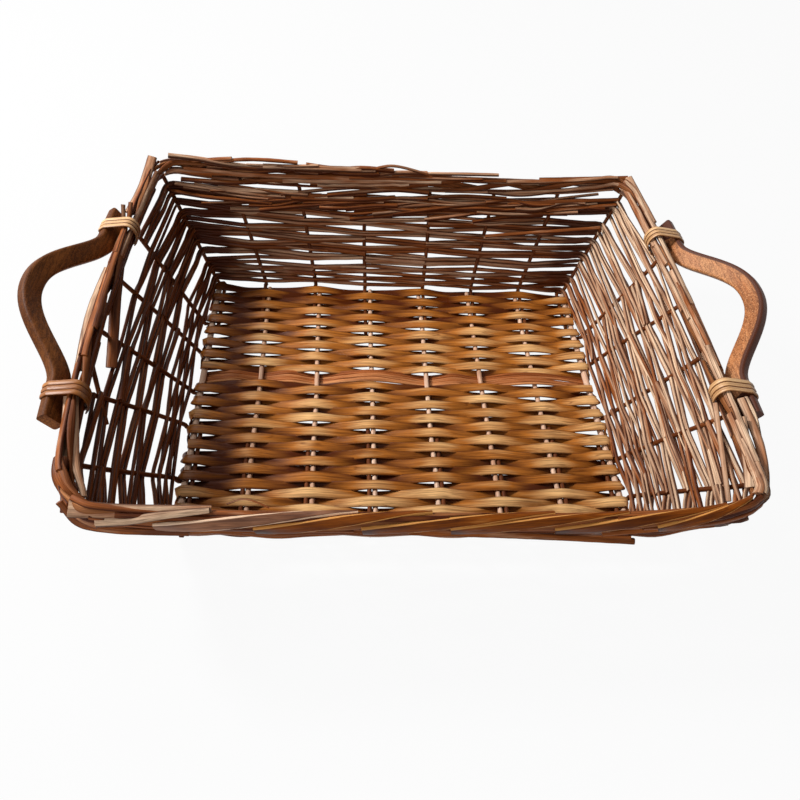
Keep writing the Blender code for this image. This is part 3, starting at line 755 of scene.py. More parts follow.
@dataclass
class Floor(Maker):
    """The woven base: its sticks, its rows of split willow and its band of thin rods."""

    stick_span: float = 0.3556
    sticks: int = 8
    stick_radius: float = 0.0023
    edge_radius: float = 0.0030
    shown_share: float = 0.97
    seat_gap: float = 0.0004
    row_inset: float = 0.0004
    strip_thickness: float = 0.0022
    split_thickness: float = 0.0014
    rest_gap: float = 0.00005
    row_pitch: float = 0.0080
    front_rows: int = 20
    back_rows: int = 15
    rows_per_strip: int = 5
    band: float = 0.0105
    thin_nodes: int = 3
    thin_rods: int = 6
    thin_before: int = 2
    thin_pitch: float = 0.0024
    thin_radius: float = 0.0014
    thin_flatness: float = 0.75
    thin_tail: float = 0.004
    thin_lift: float = 0.0006
    thin_squash: float = 1.3
    play: float = 0.0003
    sticks_below: tuple[int, ...] = (3, 6)
    foot: float = 0.0042
    right_foot_lean: float = 0.0220
    half_crest: float = 0.0045
    crest_half_width: float = 0.0050
    valley_half_width: float = 0.0056
    middle_half_width: float = 0.0044
    turn_half_width: float = 0.0036
    crest_tilt: float = math.radians(8.0)
    valley_tilt: float = math.radians(28.0)
    valley_shift: float = 0.0010
    open_share: float = 0.14
    band_space: float = 0.0011
    band_narrowing: float = 0.85
    open_narrowing: float = 0.75
    open_flattening: float = 0.2
    edge_flattening: float = 0.6
    row_play: float = 0.0004
    turn_lift: float = 0.6
    turn_inset: float = 0.0006
    widths: Range = (0.88, 1.06)
    middle_widths: Range = (0.92, 1.06)
    thin_widths: Range = (0.95, 1.1)
    tilts: Range = (0.8, 1.1)
    first_tones: Range = (0.3, 0.75)
    body_tones: Range = (0.25, 0.8)
    body_play: float = 0.11
    tone_play: float = 0.08
    crest_painted_highlight: float = 0.26
    middle_painted_shade: float = -0.22
    valley_painted_shade: float = -0.55
    turn_tone: float = -0.1
    right_painted_light: float = 0.22
    left_painted_shadow: float = 0.22
    left_reach: Range = (0.125, 0.03)
    back_painted_shade: float = 0.46
    back_reach: Range = (0.080, 0.04)
    seed: int = 5

    @property
    def edge_lift(self) -> float:
        """From the middle of an outermost stick to the middle of a strip that lies on it."""
        return self.edge_radius + self.seat_gap + self.strip_thickness / 2

    @property
    def height(self) -> float:
        """The height of the middle of the sticks."""
        return self.edge_lift + self.strip_thickness / 2

    @property
    def top(self) -> float:
        """The height of the top of the base."""
        return self.height + self.edge_lift + self.strip_thickness / 2

    @property
    def depth(self) -> float:
        """The base from front to back."""
        return (self.front_rows + self.back_rows) * self.row_pitch + self.band

    @property
    def row_edge(self) -> float:
        """From the middle of the base to the outer edge of its last row."""
        return self.depth / 2 - self.row_inset

    def stick_x(self, stick: int) -> float:
        """The place of a stick along the tray."""
        return -self.stick_span / 2 + stick * self.stick_span / (self.sticks - 1)

    def is_edge(self, stick: int) -> bool:
        """Whether a stick is one of the two at the ends of the tray."""
        return stick in (0, self.sticks - 1)

    def radius_of(self, stick: int) -> float:
        """How thick a stick is, from its middle to its side."""
        return self.edge_radius if self.is_edge(stick) else self.stick_radius

    def foot_side(self, stick: int) -> int:
        """-1 or 1: the side of a stick that the feet of the stakes lie on."""
        outward = -1 if stick < self.sticks / 2 else 1
        return -outward if self.is_edge(stick) else outward

    def row_y(self, row: int) -> float:
        """The middle of a row of split willow, counted from the front."""
        band = self.band if row >= self.front_rows else 0.0
        return -self.depth / 2 + (row + 0.5) * self.row_pitch + band

    def free_rows(self, side: int) -> list[int]:
        """The rows after which no strip turns round the outermost stick of one end."""
        free = []
        for row in range(self.front_rows + self.back_rows - 1):
            count = row % self.rows_per_strip
            last = count == self.rows_per_strip - 1
            if (last or (count % 2 == 0) != (side > 0)) and row != self.front_rows - 1:
                free.append(row)
        return free

    def end_stake_y(self, side: int, number: int, stakes: int) -> float:
        """The place of an end stake's tip."""
        lean = self.right_foot_lean if side > 0 else 0.0
        wanted = -self.depth / 2 + (number + 1) * self.depth / (stakes + 1) - lean
        places = [(self.row_y(row) + self.row_y(row + 1)) / 2 for row in self.free_rows(side)]
        return min(places, key=lambda place: abs(place - wanted))

    def shade(self, x: float, y: float) -> float:
        """A strip's tone over the base: paler to the right with painted light, darker at the left end
        with the painted shadow of the left wall, and darker at the back with painted shade.
        """
        left = clamped(-(x + self.left_reach[0]) / self.left_reach[1])
        back = clamped((y - self.back_reach[0]) / self.back_reach[1])
        right = self.right_painted_light * x / self.stick_span
        return right - self.left_painted_shadow * left - self.back_painted_shade * back

    def strip(self, first_row: int, rng: Random) -> Rod:
        """One strip woven to and fro through its rows."""
        points: list[Vector] = []
        spread: list[float] = []
        facing: list[Vector] = []
        tones: list[float] = []
        half = self.split_thickness / 2
        body = rng.uniform(*self.first_tones)

        def passes(x: float, y: float, lift: float, wide: float, face: Vector, tone: float) -> None:
            """Adds one point that the strip passes."""
            points.append(Vector((x, y, self.height + lift)))
            spread.append(wide / half)
            facing.append(face)
            # The base's painted light and shade, from shade().
            tone += self.shade(x, y)
            tones.append(body + tone + rng.gauss(0.0, self.tone_play))

        for count in range(self.rows_per_strip):
            row = first_row + count
            body = clamped(body + rng.gauss(0.0, self.body_play), *self.body_tones)
            travel = 1 if count % 2 == 0 else -1
            aside = {self.front_rows - 1: -1, self.front_rows: 1}.get(row, 0)
            order = list(range(self.sticks))[::travel]
            for place, stick in enumerate(order):
                over = 1 if (stick + row) % 2 == 0 else -1
                lift = over * (self.radius_of(stick) + half)
                wide = self.crest_half_width if over > 0 else self.valley_half_width
                wide *= rng.uniform(*self.widths) * (self.band_narrowing if aside else 1.0)
                tilt = self.crest_tilt if over > 0 else self.valley_tilt
                tilt *= self.edge_flattening if self.is_edge(stick) else rng.uniform(*self.tilts)
                if over < 0 and rng.random() < self.open_share:
                    wide, tilt = wide * self.open_narrowing, tilt * self.open_flattening
                face = Vector((0.0, -math.sin(tilt), math.cos(tilt)))
                x = self.stick_x(stick) + self.foot_side(stick) * self.foot / 2
                y = self.row_y(row) + rng.gauss(0.0, self.row_play) + aside * self.band_space
                sunk = y if over > 0 or aside else y + self.valley_shift
                # Crests get a painted highlight; valleys and the stretches between sticks get painted
                # shade.
                tone = self.crest_painted_highlight if over > 0 else self.valley_painted_shade
                for shift in (-self.half_crest, self.half_crest):
                    passes(x + travel * shift, sunk, lift, wide, face, tone)
                if place < len(order) - 1:
                    after = (x + self.stick_x(order[place + 1])) / 2
                    wide = self.middle_half_width * rng.uniform(*self.middle_widths)
                    passes(after, y, 0.0, wide, face, self.middle_painted_shade)
            if count < self.rows_per_strip - 1:
                edge = travel * (self.stick_span / 2 + self.edge_lift - self.turn_inset)
                step = (self.row_y(row + 1) - self.row_y(row)) / 3
                for share, way in ((1, over), (2, -over)):
                    lift = way * self.turn_lift * self.edge_radius
                    face = Vector((travel, 0.0, self.turn_lift * way))
                    y = self.row_y(row) + share * step
                    passes(edge, y, lift, self.turn_half_width, face, self.turn_tone)
        return Rod(points, half, rng.random(), facing, 1.0, spread, tones)

    def thin_rod(self, number: int, rng: Random) -> Rod:
        """One thin rod of the band, which runs under the sticks and over a few of them."""
        middle = -self.depth / 2 + self.front_rows * self.row_pitch + self.band / 2
        y = middle + (number - self.thin_before) * self.thin_pitch
        points = []
        for stick in range(self.sticks):
            way = 1 if stick in self.sticks_below else -1
            lift = way * (self.radius_of(stick) + self.thin_radius)
            lift = max(lift, self.thin_squash * self.thin_radius - self.height)
            x = self.stick_x(stick)
            points.append(Vector((x, y + rng.gauss(0, self.play), self.height + lift)))
            if stick < self.sticks - 1:
                x += self.stick_span / (self.sticks - 1) / 2
                up = self.height + self.thin_lift
                points.append(Vector((x, y + rng.gauss(0, self.play), up)))
        tail = Vector((self.thin_tail, 0.0, 0.0))
        points = [points[0] - tail, *points, points[-1] + tail]
        radii = [self.thin_radius * rng.uniform(*self.thin_widths) for _ in points]
        return Rod(points, radii, rng.random(), thick=self.thin_flatness)

    def build(self, tree: WandTree, woods: Finishes) -> list[Object]:
        """Builds the sticks, the strips and the thin rods."""
        rng = Random(self.seed)
        sticks = []
        for stick in range(self.sticks):
            x = self.stick_x(stick)
            ys = [-self.row_edge + step for step in spaced(2 * self.row_edge, 6)]
            points = [Vector((x + rng.gauss(0, self.play), y, self.height)) for y in ys]
            sticks.append(Rod(points, self.radius_of(stick) * self.shown_share, rng.random()))
        thin = [self.thin_rod(number, rng) for number in range(self.thin_rods)]
        rows = range(0, self.front_rows + self.back_rows, self.rows_per_strip)
        strips = [self.strip(row, rng) for row in rows]
        woven = tree.make(
            "base_strips", strips, woods["split_willow"],
            sides=16, step=0.0025, unevenness=0.0001, squareness=5.0,
        )
        band = tree.make("base_band_rods", thin, woods["red_rod"])
        table, sky = Vector((-1.0, -1.0, self.rest_gap)), Vector((1.0, 1.0, 1.0))
        pieces = [
            tree.make("base_sticks", sticks, woods["peeled_stick"]),
            pressed(band, table, sky),
            pressed(woven, table, sky),
        ]
        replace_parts(pieces[0], *(f"base_stick_{n + 1}" for n in range(self.sticks)))
        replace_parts(pieces[1], *(f"base_centre_rod_{n + 1}" for n in range(self.thin_nodes)))
        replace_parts(pieces[2], *(f"base_weaver_{n + 1}" for n in range(len(strips))))
        return pieces


@dataclass
class Stakes(Maker):
    """The stakes: feet in the base, uprights in the walls, ends laid along the border."""

    rim: Rim
    floor: Floor
    radius: float = 0.0019
    tip_radius: float = 0.0014
    tip_depth: float = 0.0036
    front_foot: float = 0.108
    back_foot: float = 0.064
    foot_step: float = 0.014
    knee: float = 0.005
    end_knee_reach: Range = (-0.2, 0.3)
    end_knee_rise: float = 0.25
    side_knee_reach: Triple = (0.2, 0.8, 1.15)
    side_knee_lean: Triple = (0.0, 0.6, 1.5)
    side_knee_rise: float = 0.3
    front_tuck: float = 0.0045
    tuck_rise: float = 0.4
    border_half_width: float = 0.0046
    border_half_height: float = 0.0070
    border_rod_radius: float = 0.0027
    core_radius: float = 0.0023
    core_grow: float = 0.82
    core_points: int = 9
    core_swell: float = 1.05
    core_taper: float = 0.02
    upright_drop: float = 0.0050
    bend_place: float = 0.02
    bend_drop: float = 0.0012
    play: float = 0.0006
    foot_tones: Range = (0.1, 0.4)
    border_tones: Range = (0.45, 0.9)
    flatness: float = 0.66
    breadth: float = 1.25
    seed: int = 11
    worn: ClassVar[bool] = True

    @property
    def upright_top(self) -> float:
        """The height at which a straight upright ends at the corners."""
        return self.rim.height - self.border_half_height - self.upright_drop

    def kind(self, index: int) -> tuple[Wall, int]:
        """The wall that a stake stands in, and its number from the left or the front."""
        sticks, ends = self.rim.sticks, self.rim.end_stakes
        if index < sticks:
            return Wall.FRONT, index
        index -= sticks
        if index < ends:
            return Wall.RIGHT, index
        index -= ends
        if index < sticks:
            return Wall.BACK, sticks - 1 - index
        return Wall.LEFT, ends - 1 - (index - sticks)

    def foot(self, index: int) -> list[Vector]:
        """A stake's foot, from its hidden end to the knee where it turns up."""
        wall, number = self.kind(index)
        floor, knee = self.floor, self.knee
        top = floor.top - floor.height
        side = 1 if wall in (Wall.BACK, Wall.RIGHT) else -1
        if wall in (Wall.LEFT, Wall.RIGHT):
            y = floor.end_stake_y(side, number, self.rim.end_stakes)
            edge = floor.stick_span / 2
            hole = edge + floor.edge_radius
            clear = floor.edge_lift + floor.strip_thickness / 2 + floor.seat_gap + self.radius
            outside = edge + clear
            bends = [outside + share * knee for share in self.end_knee_reach]
            reach = [hole - self.tip_depth, hole, *bends]
            rise = [0.0, 0.0, self.end_knee_rise * knee, top]
            return [Vector((side * x, y, floor.height + z)) for x, z in zip(reach, rise)]
        length = (self.back_foot if side > 0 else self.front_foot) - self.foot_step * (number % 3)
        beside = floor.radius_of(number) + floor.seat_gap + self.radius
        x = floor.stick_x(number) + floor.foot_side(number) * beside
        shift = -floor.foot_side(number) * beside if floor.is_edge(number) else 0.0
        foot = [Vector((x, side * (floor.row_edge - length), floor.height))]
        tuck = 0.0 if side > 0 else self.front_tuck
        rises = (0.0, self.side_knee_rise * knee, top)
        for out, lean, rise in zip(self.side_knee_reach, self.side_knee_lean, rises):
            y = side * (floor.row_edge + out * knee - tuck)
            rise = min(rise + self.tuck_rise * tuck, top)
            foot.append(Vector((x + lean * shift, y, floor.height + rise)))
        return foot

    def upright(self, index: int, height: float) -> Vector:
        """The middle of a stake's straight upright at a height."""
        index %= self.rim.stakes
        knee = self.foot(index)[-1]
        top, _ = self.rim.at(index)
        top.z += self.upright_top
        return knee.lerp(top, (height - self.floor.top) / (self.upright_top - self.floor.top))

    def strand(self, index: int, age: float) -> Pair:
        """Where a stake's end runs in the rope border after some stakes, and how it faces."""
        angle = -math.pi / 2 + age * 2 * math.pi / 3
        oval = (self.border_half_width, self.border_half_height)
        return self.rim.around(index + age, angle, oval, 0.0, self.core_grow)

    def stake(self, index: int, rng: Random) -> Rod:
        """The whole stake: foot, knee, upright, and its end laid flat along the border."""
        foot = self.foot(index)
        bend, _ = self.rim.at(index + self.bend_place)
        bend.z += self.rim.height - self.border_half_height - self.bend_drop
        middle = self.upright(index, (self.floor.top + self.upright_top) / 2)
        middle += Vector((rng.gauss(0, self.play), rng.gauss(0, self.play), 0.0))
        laid = [self.strand(index, (step + 0.5) / 3) for step in range(self.core_points)]
        bare = [*foot, middle, self.upright(index, self.upright_top), bend]
        outward = self.rim.at(index)[1]
        count, core = len(bare), self.core_points
        radii = [self.radius] * count
        swells = [self.core_swell - self.core_taper * step for step in range(core)]
        radii += [self.core_radius * swell for swell in swells]
        if self.kind(index)[0] in (Wall.LEFT, Wall.RIGHT):
            radii[0] = radii[1] = self.tip_radius
        return Rod(
            bare + [place for place, _ in laid],
            radii,
            rng.random(),
            [outward] * count + [face for _, face in laid],
            [1.0] * count + [self.flatness] * core,
            [1.0] * count + [self.breadth] * core,
            [rng.uniform(*self.foot_tones)] * count + [rng.uniform(*self.border_tones)] * core,
        )

    def build(self, tree: WandTree, woods: Finishes) -> list[Object]:
        """Builds the stakes of each wall as one piece."""
        rng = Random(self.seed)
        walls: dict[Wall, list[Rod]] = {wall: [] for wall in Wall}
        names: dict[Wall, list[str]] = {wall: [] for wall in Wall}
        for index in range(self.rim.stakes):
            wall, number = self.kind(index)
            walls[wall].append(self.stake(index, rng))
            names[wall].append(f"stake_{wall.value}_{number + 1}")
        pieces = []
        for wall, rods in walls.items():
            name = f"stakes_{wall.value}"
            piece = tree.make(name, rods, woods["stake_wood"], sides=12, step=0.003)
            pieces.append(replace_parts(piece, *names[wall]))
        return pieces


@dataclass
class Border(Maker):
    """The border's outer rods: straight ones on all sides and broad flat bands in front."""

    stakes: Stakes
    half_width: float = 0.0067
    half_height: float = 0.0093
    radii: Range = (0.0014, 0.0025)
    spans: Range = (1.3, 2.6)
    turns: Range = (0.1, 0.9)
    insets: Range = (0.9, 1.5)
    tapers: Range = (-0.25, 0.25)
    angle_play: float = 0.03
    tone_play: float = 0.04
    least_span: float = 0.5
    corner_skip: float = 0.02
    right_tones: Range = (0.55, 1.0)
    back_tones: Range = (0.25, 0.8)
    dark_tones: Range = (0.0, 0.4)
    flatness: float = 0.7
    breadth: float = 1.2
    rod_steps: int = 12
    band_half_width: float = 0.0056
    band_half_thickness: float = 0.0015
    band_span: float = 1.9
    band_taper: float = 0.72
    band_steps: int = 10
    band_starts: Range = (0.08, 0.28)
    band_lows: Range = (-32.0, -22.0)
    band_highs: Range = (105.0, 135.0)
    band_tones: Range = (0.0, 0.45)
    band_widths: Range = (0.9, 1.08)
    band_spans: Range = (0.9, 1.1)
    band_stop: float = 1.1
    band_rise: float = 0.95
    band_play: float = 0.07
    band_shadow: float = 0.7
    loose_shares: tuple[float, ...] = (0.0, 0.33, 0.67, 1.0)
    loose_slopes: Range = (-0.3, 1.0)
    loose_depths: Range = (-0.002, 0.002)
    loose_bend: float = 1.4
    loose_play: float = 0.0007
    loose_tones: Range = (0.2, 0.8)
    loose_flatness: float = 0.8
    raised_height: float = 0.013
    raised_rods: int = 18
    raised_starts: Range = (0.0, 0.20)
    raised_reaches: Range = (0.06, 0.13)
    raised_rises: Range = (0.5, 1.15)
    hanging_rods: int = 44
    hanging_lean: float = 0.65
    hanging_reaches: Range = (0.07, 0.13)
    hanging_drops: Range = (0.005, 0.024)
    press_gap: float = 0.0003
    back_start: float = 0.006
    back_length: float = 0.44
    right_tones_from: float = 0.02
    back_tones_from: float = 0.16
    seed: int = 47
    rods: ClassVar[dict[Wall, int]] = {Wall.FRONT: 4, Wall.RIGHT: 6, Wall.BACK: 4, Wall.LEFT: 3}
    worn: ClassVar[bool] = True

    def along(
        self, start: float, ages: Sequence[float], angles: Sequence[float], inset: float
    ) -> tuple[list[Vector], list[Vector]]:
        """Places on the border's oval.

        Args:
            start: the stake number that the rod starts at.
            ages: how many stakes it has passed at each place.
            angles: where round the oval it is, from the outer side over the top.
            inset: how far its middle lies inside the oval.

        Returns:
            The places, and the ways that the oval faces there.
        """
        oval, around = (self.half_width, self.half_height), self.stakes.rim.around
        laid = [around(start + age, angle, oval, inset) for age, angle in zip(ages, angles)]
        return [place for place, _ in laid], [face for _, face in laid]

    def tone(self, place: Vector, rng: Random) -> float:
        """A rod's tone: palest at the right end, paler at the back, dark in front and left."""
        if place.x > self.stakes.rim.length / 2 - self.right_tones_from:
            return rng.uniform(*self.right_tones)
        if place.y > self.back_tones_from:
            return rng.uniform(*self.back_tones)
        return rng.uniform(*self.dark_tones)

    def straight(self, index: int, number: int, count: int, rng: Random) -> Rod:
        """A rod nearly parallel to the rim, with cut ends.

        Args:
            index: the stake that it starts near.
            number, count: which of how many it is, going round the oval.
            rng: where its small differences come from.

        Returns:
            The rod.
        """
        steps = self.rod_steps
        radius = rng.uniform(*self.radii)
        span = rng.uniform(*self.spans)
        first = 2 * math.pi * (number + rng.random()) / count
        turn = rng.uniform(*self.turns)
        ages = spaced(span, steps)
        play = self.angle_play
        angles = [first + turned + rng.gauss(0.0, play) for turned in spaced(turn, steps)]
        start = index + rng.random()
        rim = self.stakes.rim
        corner = min(n for n in (*rim.corners[1:], rim.stakes) if n > start)
        if corner - start < self.least_span:
            start = corner + self.corner_skip
        elif start + span > corner:
            ages = spaced(corner - start, steps)
        inset = radius * rng.uniform(*self.insets)
        points, faces = self.along(start, ages, angles, inset)
        taper = rng.uniform(*self.tapers)
        radii = [radius * (1.0 + taper * (share - 0.5)) for share in spaced(1.0, steps)]
        tone = self.tone(points[0], rng)
        tones = [tone + rng.gauss(0.0, self.tone_play) for _ in points]
        return Rod(points, radii, rng.random(), faces, self.flatness, self.breadth, tones)

    def band(self, index: int, rng: Random) -> Rod:
        """A broad flat band that starts low on the outer side and rises over the top."""
        steps, half = self.band_steps, self.band_half_thickness
        start = index - rng.uniform(*self.band_starts)
        room = self.stakes.rim.sticks - self.band_stop - start
        span = min(self.band_span * rng.uniform(*self.band_spans), room)
        low = math.radians(rng.uniform(*self.band_lows))
        high = math.radians(rng.uniform(*self.band_highs))
        angles = [low + (high - low) * share**self.band_rise for share in spaced(1.0, steps)]
        points, faces = self.along(start, spaced(span, steps), angles, half)
        wide = self.band_half_width * rng.uniform(*self.band_widths)
        spread = [wide * (1.0 - narrowed) / half for narrowed in spaced(self.band_taper, steps)]
        tone = rng.uniform(*self.band_tones)
        tones = [tone + rng.gauss(0.0, self.band_play) for _ in points]
        if self.stakes.kind(index)[1] > 1:
            tones[0] = tone - self.band_shadow
        return Rod(points, half, rng.random(), faces, 1.0, spread, tones)

    def loose(self, start: float, reach: float, rise: float, lean: float, rng: Random) -> Rod:
        """A rod that lies loose along the back wall, on the border or just under it.

        Args:
            start: where along the wall it starts.
            reach: how far it goes to the right.
            rise: how high over the border's middle it ends.
            lean: how far inward it lies for each metre that it is under the border's middle.
            rng: where its small differences come from.

        Returns:
            The rod.
        """
        low = rise - rng.uniform(*self.loose_slopes) * self.half_height
        points = []
        for share in self.loose_shares:
            middle, outward = self.stakes.rim.beside(Wall.BACK, start + reach * share)
            risen = (rise - low) * min(self.loose_bend * share, 1.0)
            up = low + risen + rng.gauss(0.0, self.loose_play)
            middle.z += self.stakes.rim.height + up
            out = lean * min(up, 0.0) + rng.uniform(*self.loose_depths)
            points.append(middle + outward * out)
        radius = rng.uniform(*self.radii)
        tone = rng.uniform(*self.loose_tones)
        return Rod(points, radius, rng.random(), UP, self.loose_flatness, self.breadth, tone)

    def build(self, tree: WandTree, woods: Finishes) -> list[Object]:
        """Builds the straight rods, the bands, the raised rods and the hanging ones."""
        rng = Random(self.seed)
        stakes = self.stakes
        straights, bands, pale_bands = [], [], []
        for index in range(stakes.rim.stakes):
            wall, number = stakes.kind(index)
            count = self.rods[wall]
            straights += [self.straight(index, n, count, rng) for n in range(count)]
            if wall is Wall.FRONT and 0 < number < stakes.rim.sticks - 1:
                (pale_bands if number < 2 else bands).append(self.band(index, rng))
        left = -stakes.rim.length / 2 + self.back_start
        for _ in range(self.raised_rods):
            start = left + rng.uniform(*self.raised_starts)
            reach = rng.uniform(*self.raised_reaches)
            rise = self.raised_height * rng.uniform(*self.raised_rises)
            straights.append(self.loose(start, reach, rise, 0.0, rng))
        for number in range(self.hanging_rods):
            reach = rng.uniform(*self.hanging_reaches)
            room = self.back_length - reach
            start = left + (number + rng.random()) / self.hanging_rods * room
            drop = -rng.uniform(*self.hanging_drops)
            straights.append(self.loose(start, reach, drop, self.hanging_lean, rng))
        pieces = []
        reach = Vector((1.0, stakes.rim.width / 2 + self.half_width + self.press_gap, 1.0))
        for name, rods, wood, sides, corners in (
            ("border_rods", straights, "wall_wood", 10, 2.6),
            ("border_bands", bands, "border_wood", 16, 5.0),
            ("border_bands_pale", pale_bands, "border_pale", 16, 5.0),
        ):
            piece = tree.make(
                name, rods, woods[wood], sides=sides, unevenness=0.00025, squareness=corners
            )
            pieces.append(pressed(piece, -reach, reach))
        return pieces


@dataclass(frozen=True)
class Stray:
    """A worn or broken rod, in millimetres.

    Its places count from the middle of one wall, each with how far out and up it is.
    """

    wall: Wall
    places: tuple[Triple, ...]
    half_width: float = 1.8
    half_thickness: float = 1.3
    tone: float = 0.4
    tip: float = 1.0


@dataclass
class Strays(Maker):
    """The rods that have worked loose from the border and the walls."""

    rim: Rim
    rods: tuple[Stray, ...] = (
        Stray(Wall.BACK, ((-222, 0, 0), (-190, 1, 9), (-160, 0, 16))),
        Stray(Wall.BACK, ((-224, 2, -10), (-156, 0, 15), (-98, 0, 17))),
        Stray(Wall.BACK, ((-131, -2, 12), (-37, -2, 14)), 2.6, 1.2, 0.75),
        Stray(Wall.BACK, ((-175, -8, -13), (-98, -8, -11)), 2.7, 1.2, 0.8),
        Stray(Wall.BACK, ((-37, 0, 8), (-7, 0, 18), (35, 0, 8)), 1.3),
        Stray(Wall.LEFT, ((110, 4, 4), (150, 3, 4), (192, 3, 10)), 4.2, 1.2, 0.6),
        Stray(Wall.LEFT, ((76, 3, -2), (15, -4, -10), (-50, -10, -24)), 4.2, 1.6, 0.2),
        Stray(Wall.LEFT, ((-52, 2, -2), (-98, -12, -34)), 1.7, 1.5, 0.2),
        Stray(Wall.LEFT, ((37, 5, 1), (-20, 6, 3), (-76, 4, 0)), 3.0, 1.2, 0.95),
        Stray(Wall.LEFT, ((-104, 6, 2), (-184, -1, -2)), 2.6, 1.4, 0.8),
        Stray(Wall.LEFT, ((-100, 1, 5), (-184, -10, -3)), 2.8, 1.3, 0.7),
        Stray(Wall.LEFT, ((-90, 5, -7), (-186, 3, -16)), 2.0, 1.6, 0.4),
        Stray(Wall.RIGHT, ((-95, -7, -4), (-170, -11, -24)), 2.0, 1.4, 0.8),
        Stray(Wall.RIGHT, ((-118, 1, 7), (-175, -5, -2)), 3.8, 1.2, 0.9),
        Stray(Wall.FRONT, ((-127, -11, 2), (-115, -14, 4), (-100, -9, 2)), 0.6, 0.6),
        Stray(Wall.BACK, ((140, 0, 6), (229, 1, 4)), 3.6, 1.4, 0.35),
        Stray(Wall.BACK, ((165, 3, 1), (231, 2, -1)), 2.4, 1.4, 0.45),
        Stray(Wall.RIGHT, ((120, 1, 6), (196, -1, 6)), 3.6, 1.3, 0.85),
        Stray(Wall.RIGHT, ((90, -5, 2), (190, -6, 0)), 2.6, 1.3, 0.7),
        Stray(Wall.RIGHT, ((-197, -16, -2), (-184, 3, 1), (-150, 1, 4)), 4.5, 1.4, 0.6, 0.2),
        Stray(
            Wall.FRONT, ((-233.5, -36, 3), (-233, -18, 2), (-223, -1, -4), (-205, 5, -7)),
            4.8, 1.3, 0.35, 0.6,
        ),
        Stray(Wall.RIGHT, ((-98, 11, 6), (-116, 12.5, 5), (-136, 12.5, -1)), 2.4, 1.4, 0.95),
        Stray(Wall.RIGHT, ((-99, 7.5, 6), (-140, 9.5, 3), (-178, 4, -1)), 3.2, 1.4, 0.75),
        Stray(Wall.BACK, ((110, -9, -14), (222, -9, -13)), 1.9, 1.7, 0.3),
        Stray(Wall.BACK, ((150, -13, -20), (220, -12, -17)), 1.7, 1.5, 0.5),
        Stray(Wall.BACK, ((90, -27, -41), (206, -24, -36)), 1.8, 1.5, 0.4),
        Stray(Wall.BACK, ((-215, -9, -14), (-120, -10, -16)), 1.9, 1.6, 0.5),
        Stray(Wall.LEFT, ((99, 6, 6), (108, 7, 14)), 1.8, 1.2, 0.7),
        Stray(Wall.LEFT, ((97, 1, 6), (110, 1, 15)), 2.0, 1.4, 0.5),
        Stray(Wall.FRONT, ((-226, 1, 2), (-180, 0, 6), (-135, -3, 8.5)), 5.8, 1.4, 0.75, 0.4),
        Stray(
            Wall.FRONT, ((-206, 5.2, -4), (-188, 5, 1), (-165, 3, 7), (-136, -1, 9.5)),
            3.8, 1.5, 1.05, 0.5,
        ),
        Stray(
            Wall.FRONT, ((-234, -6, -1), (-222, 1, -12), (-195, 3, -13.5), (-150, 3, -10.5)),
            2.4, 1.8, 0.2,
        ),
        Stray(
            Wall.FRONT,
            ((-212, 2, -14.5), (-170, 2, -11.5), (-110, 2, -8.5), (-30, 2, -8), (30, 2, -7.5)),
            1.7, 1.7, 0.2,
        ),
        Stray(Wall.FRONT, ((-10, 3, -7), (70, 3, -12), (145, 3, -21.5)), 2.2, 2.0, 0.3),
        Stray(Wall.FRONT, ((20, 1, -9), (80, 2, -14), (142, 2, -18.5)), 1.8, 1.6, 0.4),
        Stray(Wall.FRONT, ((120, 3, -10.5), (195, 2, -8.5)), 1.8, 1.6),
    )
    tone_play: float = 0.05
    furthest: float = 0.2020
    seed: int = 71
    leans: ClassVar[dict[Wall, float]] = {
        Wall.FRONT: 0.9, Wall.RIGHT: -0.5, Wall.BACK: -0.8, Wall.LEFT: -0.3,
    }
    worn: ClassVar[bool] = True

    def build(self, tree: WandTree, woods: Finishes) -> list[Object]:
        """Builds the loose rods as one piece."""
        rng = Random(self.seed)
        rods = []
        for stray in self.rods:
            points, faces = [], []
            for spot in stray.places:
                place, out, up = metres(*spot)
                middle, outward = self.rim.beside(stray.wall, place)
                points.append(middle + outward * out + UP * (self.rim.height + up))
                faces.append((UP + outward * self.leans[stray.wall]).normalized())
            half_width, half_thickness = metres(stray.half_width, stray.half_thickness)
            wide, last = half_width / half_thickness, len(points) - 1
            spread = [wide * (1 + (stray.tip - 1) * n / last) for n in range(len(points))]
            tones = [stray.tone + rng.gauss(0.0, self.tone_play) for _ in points]
            rods.append(Rod(points, half_thickness, rng.random(), faces, 1.0, spread, tones))
        piece = tree.make(
            "loose_rods", rods, woods["wall_wood"],
            sides=12, step=0.003, unevenness=0.0003, squareness=3.5,
        )
        reach = Vector((1.0, self.furthest, 1.0))
        return [pressed(piece, -reach, reach)]


